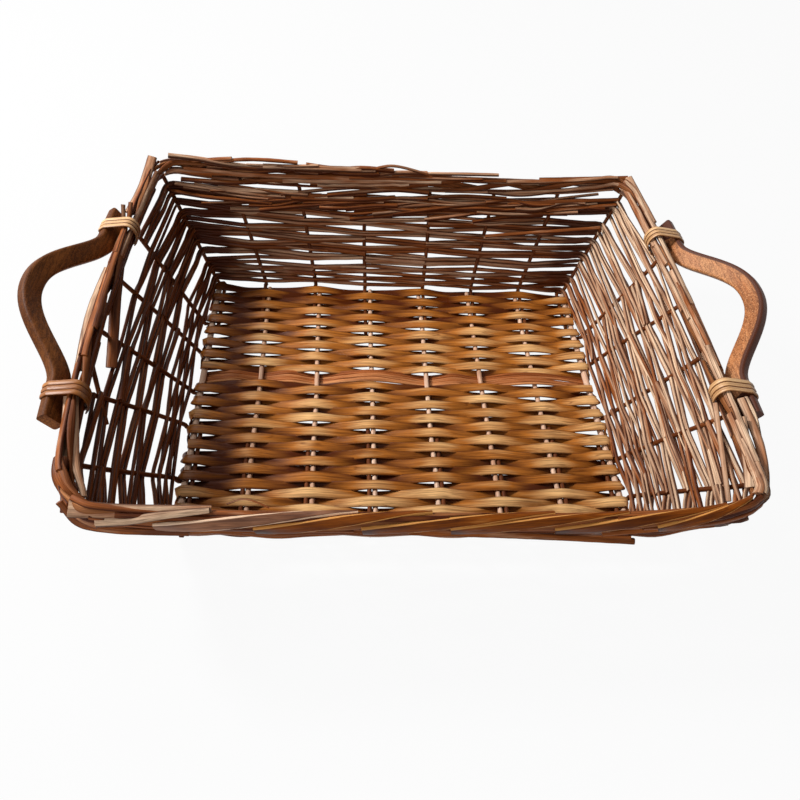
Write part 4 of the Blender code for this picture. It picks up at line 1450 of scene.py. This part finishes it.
@dataclass
class WallRods(Maker):
    """The round rods woven round the stakes, joined from many lengths.

    For each group, nodes says how many rods of the source it stands for, and looseness how
    far its rods wander up and down and the chance that a thinner rod runs beside a length.
    """

    stakes: Stakes
    radius: float = 0.0017
    shown_radius: float = 0.0020
    butts: Range = (1.0, 1.25)
    tips: Range = (0.65, 0.9)
    dark_tones: Range = (0.1, 0.7)
    pale_tones: Range = (0.45, 1.15)
    company_share: float = 0.8
    company_gaps: Range = (0.0022, 0.0032)
    company_play: float = 0.0005
    rod_lengths: tuple[int, int] = (5, 11)
    least_length: int = 4
    extra_lengths: tuple[int, int] = (4, 6)
    extra_lift: float = 0.004
    extra_margin: float = 0.006
    right_droop: float = 1.5
    left_steepness: float = 0.5
    bend_shares: Range = (0.34, 0.66)
    bend_play: float = 0.0002
    flatness: float = 0.8
    breadth: float = 1.15
    tight_gap: float = 0.0004
    press: float = 0.0010
    lower_turns: float = 2.0
    open_turns: float = 3.0
    upper_turns: float = 1.5
    zone_gap: float = 0.0060
    upper_clearance: float = 0.0016
    cane_thickness: float = 0.0012
    corner_swing: float = 0.75
    corner_stand: float = 1.12
    sway: float = 0.6
    left_sway: float = 0.4
    steepest: float = 0.010
    bare_end: float = 0.060
    bare_depth: float = 0.03
    end_inset: float = 0.0022
    lone_depth: float = 0.05
    lone_share: float = 0.3
    long_gap: float = 0.02
    corner_reach: float = 0.062
    end_share: float = 0.49
    painted_light_start: float = 0.03
    left_painted_shade: float = 0.65
    back_painted_light: float = 0.12
    back_from: float = 0.14
    seed: int = 23
    extras: ClassVar[dict[Wall, int]] = {Wall.FRONT: 8, Wall.RIGHT: 20, Wall.BACK: 8, Wall.LEFT: 2}
    nodes: ClassVar[dict[str, int]] = {"lower": 2, "open": 4, "upper": 2}
    looseness: ClassVar[dict[str, Range]] = {
        "lower": (0.0004, 0.5), "open": (0.0011, 0.75), "upper": (0.0007, 1.0),
    }

    def offset(self, index: int) -> float:
        """How far the middle of a wall rod stands from the middle of a stake."""
        stakes = self.stakes
        low = stakes.upright(index, stakes.floor.top)
        lean = stakes.upright(index, stakes.upright_top) - low
        splay = math.atan2(math.hypot(lean.x, lean.y), lean.z)
        sway = self.left_sway if stakes.kind(index)[0] is Wall.LEFT else self.sway
        return (stakes.radius + self.radius - self.press) * sway / math.cos(splay)

    def lap(self, first: int, turns: float, height: float, pitch: float, parity: int) -> list[Vector]:
        """The points of a rod that is woven round the walls and rises as it goes.

        Args:
            first: the stake that it starts at.
            turns: how many times it goes round.
            height: the height of its start.
            pitch: how much it rises in a turn.
            parity: 0 or 1, the stakes that it passes in front of.

        Returns:
            Its points.
        """
        rim = self.stakes.rim
        points = []
        for step in range(int(turns * rim.stakes) + 1):
            index = (first + step) % rim.stakes
            side = 1 if (index + parity) % 2 == 0 else -1
            post = self.stakes.upright(index, height + pitch * step / rim.stakes)
            _, outward = rim.at(index)
            offset = self.offset(index)
            if index in rim.corners and side > 0:
                ahead = Vector((-outward.y, outward.x, 0.0))
                for swing in (-1, 1):
                    aim = (outward + swing * ahead * self.corner_swing).normalized()
                    points.append(post + aim * offset * self.corner_stand)
            else:
                points.append(post + outward * side * offset)
        return points

    def stretches(self, points: list[Vector]) -> list[list[Vector]]:
        """The winding without the part that is worn off at the left wall."""
        edge = self.bare_depth - self.stakes.rim.length / 2
        runs: list[list[Vector]] = [[]]
        for point in points:
            if point.x < edge and abs(point.y) < self.bare_end:
                runs.append([])
            else:
                runs[-1].append(point)
        return [run for run in runs if len(run) >= self.least_length]

    def lengths(self, points: list[Vector], rng: Random, play: float, company: float) -> list[Rod]:
        """Cuts one long winding into rods that overlap at their joins.

        Args:
            points: the points of the whole winding.
            rng: where the lengths, tints and small wanderings come from.
            play: how far a rod wanders up or down.
            company: the chance that a thinner rod runs beside a length.

        Returns:
            The rods.
        """
        rods = []
        start, last, least = 0, len(points) - 1, self.least_length
        while start < last:
            stop = min(start + rng.randint(*self.rod_lengths), last)
            if last - stop < least:
                stop = last
            run = [p + UP * rng.gauss(0.0, play) for p in points[max(start - 1, 0) : stop + 1]]
            for end in (0, -1):
                inward = Vector((-run[end].x, -run[end].y, 0.0)).normalized()
                run[end] = run[end] + inward * self.end_inset
            rods.append(self.tapered(self.straightened(run, rng), 1.0, rng))
            middle = sum(p.x for p in run) / len(run)
            left = middle < self.lone_depth - self.stakes.rim.length / 2
            chance = company * (self.lone_share if left else 1.0)
            if rng.random() < chance and len(run) > least:
                first = rng.randint(0, len(run) - least)
                final = rng.randint(first + least - 1, len(run) - 1)
                side = rng.choice((-1, 1)) * rng.uniform(*self.company_gaps)
                gaps = [side + rng.gauss(0.0, self.company_play) for _ in run[first : final + 1]]
                beside = [p + UP * gap for p, gap in zip(run[first:], gaps)]
                beside = self.straightened(beside, rng)
                rods.append(self.tapered(beside, self.company_share, rng))
            start = stop
        return rods

    def tapered(self, run: list[Vector], share: float, rng: Random) -> Rod:
        """One rod along a run of points, thick at its butt and thin at its tip.

        Args:
            run: the points.
            share: how thick it is against a full rod.
            rng: where its small differences come from.

        Returns:
            The rod.
        """
        count = len(run)
        butt = self.shown_radius * share * rng.uniform(*self.butts)
        tip = self.shown_radius * share * rng.uniform(*self.tips)
        radii = [butt + (tip - butt) * n / (count - 1) for n in range(count)]
        if rng.random() < 0.5:
            radii.reverse()
        end = self.stakes.rim.length / 2
        dark, pale = rng.uniform(*self.dark_tones), rng.uniform(*self.pale_tones)
        tones, facing = [], []
        for place in run:
            face = Vector((place.x, place.y, 0.0)).normalized()
            half_y = abs(place.y) / self.stakes.rim.width
            if end - abs(place.x) < self.corner_reach and half_y < self.end_share:
                face = Vector((math.copysign(1.0, place.x), 0.0, 0.0))
            facing.append(face)
            # Painted light pales the rods towards the right end and on the back wall; painted shade
            # darkens the left wall.
            right = clamped((place.x - end + self.corner_reach) / self.painted_light_start)
            back = self.back_painted_light if place.y > self.back_from else 0.0
            tone = dark + (pale - dark) * right + back
            tones.append(tone * (self.left_painted_shade if place.x < self.corner_reach - end else 1.0))
        return Rod(run, radii, rng.random(), facing, self.flatness, self.breadth, tones)

    def extra(self, wall: Wall, lowest: float, highest: float, rng: Random) -> Rod:
        """A thinner rod that someone worked into one wall later.

        Args:
            wall: the wall.
            lowest, highest: the heights between which it lies.
            rng: where its place and its small differences come from.

        Returns:
            The rod.
        """
        stakes, rim = self.stakes, self.stakes.rim
        numbers = [n for n in range(rim.stakes) if stakes.kind(n)[0] is wall]
        first = rng.randint(numbers[0] - 1, numbers[-1] - self.least_length)
        count = min(rng.randint(*self.extra_lengths), numbers[-1] + 1 - first)
        share = rng.random() ** (self.right_droop if wall is Wall.RIGHT else 1.0)
        height = lowest + self.extra_lift + (highest - lowest - self.extra_margin) * share
        steepness = self.left_steepness if wall is Wall.LEFT else 1.0
        rise = rng.uniform(-1.0, 1.0) * self.steepest * steepness
        rise = clamped(rise, lowest - height, highest - height)
        pitch = rise * rim.stakes / count
        points = self.lap(first % rim.stakes, count / rim.stakes, height, pitch, rng.randint(0, 1))
        return self.tapered(self.straightened(points, rng), rng.uniform(*self.tips), rng)

    def straightened(self, run: list[Vector], rng: Random) -> list[Vector]:
        """The run with two more points between each pair, so that it stays straight there."""
        path = []
        for here, after in zip(run, run[1:]):
            path.append(here)
            if (after - here).length > self.long_gap:
                for share in self.bend_shares:
                    path.append(here.lerp(after, share) + UP * rng.gauss(0.0, self.bend_play))
        path.append(run[-1])
        return path

    def build(self, tree: WandTree, woods: Finishes) -> list[Object]:
        """Builds the close rows, the open pairs and the close rows under the border."""
        rng = Random(self.seed)
        stakes = self.stakes
        floor, rim = stakes.floor, stakes.rim
        splay = math.atan2((rim.width - floor.depth) / 2, stakes.upright_top - floor.top)
        tight = (2 * self.radius + self.tight_gap) * math.cos(splay)
        lowest = floor.top + floor.seat_gap + self.radius
        open_start = lowest + 2 * self.lower_turns * tight + self.zone_gap
        bottom = rim.height - stakes.border_half_height - stakes.border_rod_radius
        highest = bottom - self.cane_thickness - self.upper_clearance - self.radius
        upper_start = highest - 2 * self.upper_turns * tight
        open_pitch = (upper_start - self.zone_gap - open_start) / (2 * self.open_turns)
        groups: dict[str, list[Rod]] = {group: [] for group in self.nodes}
        for number in range(2):
            first = number * (rim.stakes // 2)
            foot = lowest + (number - 2) * tight
            rows = (
                ("lower", 0, self.lower_turns + 1, foot, tight),
                ("open", first, self.open_turns, open_start, open_pitch),
                ("open", first, self.open_turns, open_start + tight, open_pitch),
                ("upper", first, self.upper_turns, upper_start, tight),
            )
            for group, start, turns, height, pitch in rows:
                points = self.lap(start, turns, height, 2 * pitch, number)
                for stretch in self.stretches(points) if group == "upper" else [points]:
                    groups[group] += self.lengths(stretch, rng, *self.looseness[group])
        for wall, number in self.extras.items():
            groups["open"] += [self.extra(wall, lowest, highest, rng) for _ in range(number)]
        pieces = []
        for group, count in self.nodes.items():
            piece = tree.make(f"wall_rods_{group}", groups[group], woods["wall_wood"], step=0.005)
            names = (f"wall_weaver_{group}_{n + 1}" for n in range(count))
            pieces.append(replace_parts(piece, *names))
        return pieces


# The handles and their cane


def hull(points: Iterable[Range]) -> list[Range]:
    """The convex outline of points in a plane, going round anticlockwise."""
    ordered = sorted(points)
    outline: list[Range] = []
    for run in (ordered, ordered[::-1]):
        chain: list[Range] = []
        for point in run:
            while len(chain) > 1:
                (ax, az), (bx, bz) = chain[-2], chain[-1]
                if (bx - ax) * (point[1] - az) - (bz - az) * (point[0] - ax) > 0:
                    break
                chain.pop()
            chain.append(point)
        outline += chain[:-1]
    return outline


def directions(path: Sequence[Vector]) -> list[Vector]:
    """The way that a path runs at each of its points."""
    befores, afters = [path[0], *path[:-1]], [*path[1:], path[-1]]
    return [(after - before).normalized() for before, after in zip(befores, afters)]


def swept(
    name: str,
    rings: list[list[Vector]],
    values: dict[str, list[float]],
    material: Material,
    sharp: float,
    turned: bool = False,
) -> Object:
    """A closed skin over rings of points.

    Args:
        name: the piece's name.
        rings: its sections, each with as many points.
        values: named numbers for its points.
        material: its finish.
        sharp: the angle in degrees from which an edge stays sharp.
        turned: whether the rings go round the other way.

    Returns:
        The piece.
    """
    sides, last = len(rings[0]), len(rings) - 1
    faces = []
    for start in range(0, last * sides, sides):
        for side in range(sides):
            a, b = start + side, start + (side + 1) % sides
            faces.append((a, b, b + sides, a + sides))
    faces.append(tuple(range(sides))[::-1])
    faces.append(tuple(range(last * sides, (last + 1) * sides)))
    if turned:
        faces = [face[::-1] for face in faces]
    mesh = bpy.data.meshes.new(name)
    mesh.from_pydata([point for ring in rings for point in ring], [], faces)
    stored(mesh, values).materials.append(material)
    mesh.shade_smooth()
    mesh.set_sharp_from_angle(angle=math.radians(sharp))
    return placed(name, mesh)


@dataclass
class Handle(Maker):
    """A bentwood ear handle with its two cane lashings."""

    rim: Rim
    side: int
    shift: float
    name: str
    wood: str
    # How pale each lashing is, front then back: the cane's own tone, with painted light on the right
    # handle's shaded lashings.
    cane_tones_and_painted_light: Range = (0.95, 0.95)
    end_shade: float = 0.0
    width: float = 0.0163
    thickness: float = 0.0084
    corner: float = 0.0022
    reach: float = 0.0379
    foot_end: float = 0.118
    arch_power: float = 2.2
    shoulder_power: float = 2.1
    rise: float = math.radians(33.0)
    roll: float = math.radians(22.0)
    foot_slide: float = 0.0080
    seat_gap: float = 0.0004
    rope_half_width: float = 0.0073
    rope_half_height: float = 0.0097
    cane_width: float = 0.0040
    cane_thickness: float = 0.0012
    cane_gap: float = 0.0006
    cane_dome: float = 0.6
    turns: int = 3
    lashing_centre: float = 0.095
    steps: int = 60
    rope_points: int = 24
    corner_steps: int = 4
    dome_steps: int = 8
    bow_sharp: float = 40.0
    cane_sharp: float = 50.0

    def axes(self) -> Pair:
        """The outward and the upward direction of the handle's slanting plane."""
        out = Vector((self.side * math.cos(self.rise), 0.0, math.sin(self.rise)))
        up = Vector((-self.side * math.sin(self.rise), 0.0, math.cos(self.rise)))
        return out, up

    def section_axes(self, out: Vector, up: Vector) -> Pair:
        """The wide and the thin direction of the section, rolled from the plane."""
        wide = out * math.cos(self.roll) + up * math.sin(self.roll)
        thin = out * math.sin(self.roll) - up * math.cos(self.roll)
        return wide, thin

    def edge_x(self, y: float) -> float:
        """Where the middle of the border is at a place along the handle's wall."""
        return self.side * (self.rim.length / 2 + self.rim.end_bow(self.side, y))

    def foot(self, y: float) -> Vector:
        """The middle of the foot, which leans on the outer side of the border."""
        wide, thin = self.section_axes(*self.axes())
        border = Vector((self.edge_x(y), y, self.rim.height))
        rope = math.hypot(self.rope_half_width * thin.x, self.rope_half_height * thin.z)
        clear = rope + self.seat_gap + self.thickness / 2
        return border + thin * clear + wide * self.foot_slide

    @property
    def half_span(self) -> float:
        """From the middle of the handle to the start of its straight feet."""
        length = self.turns * (self.cane_width + self.cane_gap) + self.cane_width
        return self.lashing_centre - length / 2 - self.cane_width / 2

    def arch(self, y: float) -> float:
        """How far the handle stands out from its feet at a place along its span."""
        share = min(abs(y) / self.half_span, 1.0)
        return self.reach * (1.0 - share**self.arch_power) ** self.shoulder_power

    def bow(self, material: Material) -> Object:
        """Builds the bent wood: a rounded rectangle along the arch, with painted shade on its edges.

        Beyond the lashings the painted shade is raised, so that the ends of the feet are dark.
        """
        out, up = self.axes()
        places = [self.foot_end * (place - 1) for place in spaced(2, self.steps)]
        path = [self.foot(self.shift + y) + out * self.arch(y) for y in places]
        outline = self._outline()
        rings = []
        for point, along in zip(path, directions(path)):
            wide, thin = self.section_axes(along.cross(up) * self.side, up)
            rings.append([point + wide * w + thin * t for w, t in outline])
        shades = [self.end_shade * (abs(y) > self.lashing_centre) for y in places]
        edges = [0.5 + shade + w / self.width for shade in shades for w, _ in outline]
        name, turned = self.name + "_bow", self.side < 0
        return swept(name, rings, {"edge": edges}, material, self.bow_sharp, turned)

    def _outline(self) -> list[Range]:
        """The section: a rectangle with rounded corners."""
        outline = []
        for quarter, (a, b) in enumerate(((1, 1), (-1, 1), (-1, -1), (1, -1))):
            middle_w = a * (self.width / 2 - self.corner)
            middle_t = b * (self.thickness / 2 - self.corner)
            for step in range(self.corner_steps + 1):
                angle = (quarter + step / self.corner_steps) * math.pi / 2
                w = middle_w + self.corner * math.cos(angle)
                outline.append((w, middle_t + self.corner * math.sin(angle)))
        return outline

    def lashing(self, middle: float) -> list[Vector]:
        """The path of one lashing, wound round the border and the foot."""
        outline = self._wound_line(middle)
        start = min(range(len(outline)), key=lambda i: outline[i][1] + self.side * outline[i][0])
        outline = outline[start:] + outline[:start]
        count = len(outline) * self.turns + 1
        pitch = self.cane_width + self.cane_gap
        path = []
        for step in range(count):
            x, z = outline[step % len(outline)]
            y = middle + (step / (count - 1) - 0.5) * pitch * self.turns
            x += self.side * (self.rim.end_bow(self.side, y) - self.rim.end_bow(self.side, middle))
            path.append(Vector((x, y, z)))
        return path

    def _wound_line(self, y: float) -> list[Range]:
        """The closed line that a lashing follows round the border and the foot."""
        stand = self.seat_gap + self.cane_thickness / 2
        points = []
        centre = self.edge_x(y)
        for step in range(self.rope_points):
            angle = 2 * math.pi * (step + 0.5) / self.rope_points
            x = (self.rope_half_width + stand) * math.cos(angle)
            z = (self.rope_half_height + stand) * math.sin(angle)
            points.append((centre + x, self.rim.height + z))
        foot = self.foot(y)
        wide, thin = self.section_axes(*self.axes())
        for w, t in self._outline():
            corner = wide * w + thin * t
            away = corner.normalized() * stand
            points.append((foot.x + corner.x + away.x, foot.z + corner.z + away.z))
        return hull(points)

    def cane(self, name: str, path: list[Vector], tone: float, material: Material) -> Object:
        """A flat cane whose width lies along Y, with a domed outer face.

        Args:
            name: the piece's name.
            path: the points that it passes.
            tone: how pale it is.
            material: its finish.

        Returns:
            The piece.
        """
        half, rise = self.cane_width / 2, self.cane_thickness / 2
        shares = [place - 1 for place in spaced(2, self.dome_steps)]
        section = [(share * half, rise * (1 - self.cane_dome * share**2)) for share in shares]
        section += [(half, -rise), (-half, -rise)]
        centre = sum(path, Vector()) / len(path)
        rings: list[list[Vector]] = []
        grain: list[float] = []
        run, before = 0.0, path[0]
        for point, along in zip(path, directions(path)):
            face = Vector((along.z, 0.0, -along.x)).normalized()
            if face.dot(point - centre) < 0:
                face = -face
            run += (point - before).length
            before = point
            rings.append([point + Vector((0.0, across, 0.0)) + face * up for across, up in section])
            for across, up in section:
                grain += [across, up, run]
        # The edge values darken the cane's sides with painted shade.
        edges = [abs(across) / half for across, _ in section] * len(path)
        values = {"grain": grain, "tint": [tone] * len(edges), "edge": edges}
        return swept(name, rings, values, material, self.cane_sharp)

    def build(self, tree: WandTree, woods: Finishes) -> list[Object]:
        """Builds the handle and its lashings."""
        bow = self.bow(woods[self.wood])
        pieces = [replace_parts(bow, f"handle_{self.name}")]
        for place, side, tone in zip(("front", "back"), (-1, 1), self.cane_tones_and_painted_light):
            path = self.lashing(self.shift + side * self.lashing_centre)
            piece = self.cane(f"cane_{self.name}_{place}", path, tone, woods["cane"])
            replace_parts(piece, f"lashing_{self.name}_{place}")
            pieces.append(piece)
        return pieces


# The room that the basket is seen in


@dataclass(frozen=True)
class Lamp:
    """A soft square lamp, its power in watts."""

    name: str
    place: Triple
    power: float
    size: float

    def put(self, target: Vector) -> None:
        """Puts the lamp in the scene and turns it to a target."""
        data = bpy.data.lights.new(self.name, "AREA")
        data.energy = self.power
        data.size = self.size
        lamp = placed(self.name, data)
        lamp.location = self.place
        lamp.rotation_euler = (target - lamp.location).to_track_quat("-Z", "Y").to_euler()


@dataclass
class Studio:
    """A plain pale floor, soft light and the camera of the photograph."""

    camera_place: Triple = (-0.0586, -0.4625, 0.5182)
    pitch: float = 48.05
    yaw: float = 7.26
    roll: float = 6.27
    focal_pixels: float = 761.4
    image_pixels: int = 800
    sensor_width: float = 36.0
    nearest: float = 0.01
    room_light: float = 0.07
    seen_light: float = 0.93
    floor_reach: float = 6.0
    floor_grey: float = 0.45
    floor_roughness: float = 0.9
    floor_glow: float = 0.94
    target: Triple = (0.0, 0.0, 0.05)
    lamps: tuple[Lamp, ...] = (
        Lamp("key", (-1.20, 0.50, 1.10), 34.5, 0.3),
        Lamp("sheen", (-0.50, 1.00, 1.30), 9.0, 0.4),
        Lamp("fill", (-0.8, -1.3, 0.9), 14.0, 0.8),
    )

    def camera(self) -> None:
        """Puts the camera at the photograph's viewing angle."""
        data = bpy.data.cameras.new("camera")
        data.sensor_width = self.sensor_width
        data.lens = self.focal_pixels / self.image_pixels * data.sensor_width
        data.clip_start = self.nearest
        camera = placed("camera", data)
        pitch, yaw, roll = (math.radians(a) for a in (self.pitch, self.yaw, self.roll))
        level = math.cos(pitch)
        ahead = Vector((math.sin(yaw) * level, math.cos(yaw) * level, -math.sin(pitch)))
        right = ahead.cross(UP).normalized()
        above = right.cross(ahead)
        matrix = camera.matrix_world.to_3x3()
        matrix.col[0] = right * math.cos(roll) + above * math.sin(roll)
        matrix.col[1] = above * math.cos(roll) - right * math.sin(roll)
        matrix.col[2] = -ahead
        camera.matrix_world = matrix.to_4x4()
        camera.location = self.camera_place
        bpy.context.scene.camera = camera

    def light(self) -> None:
        """A lamp on the left, weaker ones behind and in front, and a pale room."""
        for lamp in self.lamps:
            lamp.put(Vector(self.target))
        world = bpy.data.worlds.new("room")
        world.use_nodes = True
        back = world.node_tree.nodes["Background"]
        back.inputs["Color"].default_value = (1.0, 1.0, 1.0, 1.0)
        strength = self._seen(Graph(world.node_tree)) * self.seen_light + self.room_light
        world.node_tree.links.new(strength.socket, back.inputs["Strength"])
        bpy.context.scene.world = world

    @staticmethod
    def _seen(graph: Graph) -> Flow:
        """1 for what the camera sees straight, in a gloss or through glass, and else 0."""
        kinds = ("Camera", "Glossy", "Transmission")
        rays = [graph.add("ShaderNodeLightPath", output=f"Is {kind} Ray") for kind in kinds]
        inputs = {0: rays[0] + rays[1], 1: rays[2]}
        return graph.add("ShaderNodeMath", inputs, operation="ADD", use_clamp=True)

    def ground(self) -> None:
        """A white floor that keeps the basket's shadow."""
        mesh = bpy.data.meshes.new("studio_floor")
        reach = self.floor_reach
        signs = ((-1, -1), (1, -1), (1, 1), (-1, 1))
        corners = [(right * reach, back * reach, 0.0) for right, back in signs]
        mesh.from_pydata(corners, [], [(0, 1, 2, 3)])
        material = bpy.data.materials.new("studio_white")
        material.use_nodes = True
        tree = material.node_tree
        shader = tree.nodes["Principled BSDF"]
        shader.inputs["Base Color"].default_value = (*[self.floor_grey] * 3, 1.0)
        shader.inputs["Roughness"].default_value = self.floor_roughness
        glow = tree.nodes.new("ShaderNodeEmission")
        blend = tree.nodes.new("ShaderNodeMixShader")
        share = self._seen(Graph(tree)) * self.floor_glow
        for number, output in enumerate((share.socket, shader.outputs[0], glow.outputs[0])):
            tree.links.new(output, blend.inputs[number])
        tree.links.new(blend.outputs[0], tree.nodes["Material Output"].inputs["Surface"])
        mesh.materials.append(material)
        placed("studio_floor", mesh)

    def build(self) -> None:
        """Sets up the whole room."""
        self.camera()
        self.light()
        self.ground()
        bpy.context.scene.view_settings.view_transform = "Standard"


def main() -> None:
    """Builds the basket's pieces in order, dresses them and sets up the room."""
    woods = Finishes()
    tree = WandTree()
    rim = Rim()
    floor = Floor()
    stakes = Stakes(rim, floor)
    makers: list[Maker] = [
        floor,
        stakes,
        Border(stakes),
        Strays(rim),
        WallRods(stakes),
        Handle(rim, side=-1, shift=-0.006, name="left", wood="bentwood_painted_shade", cane_tones_and_painted_light=(0.05, 1.0)),
        Handle(rim, side=1, shift=0.006, name="right", wood="bentwood", end_shade=0.6),
    ]
    for maker in makers:
        for piece in maker.build(tree, woods):
            if maker.worn:
                rim.wear(piece)
            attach(piece, "root")
            spots = [vertex.co for vertex in piece.data.vertices]
            low, high = ([round(pick(axis) * 1000, 2) for axis in zip(*spots)] for pick in (min, max))
            LOG.info("%s: %d faces, %s to %s mm", piece.name, len(piece.data.polygons), low, high)
    Studio().build()


if __name__ == "__main__":
    main()
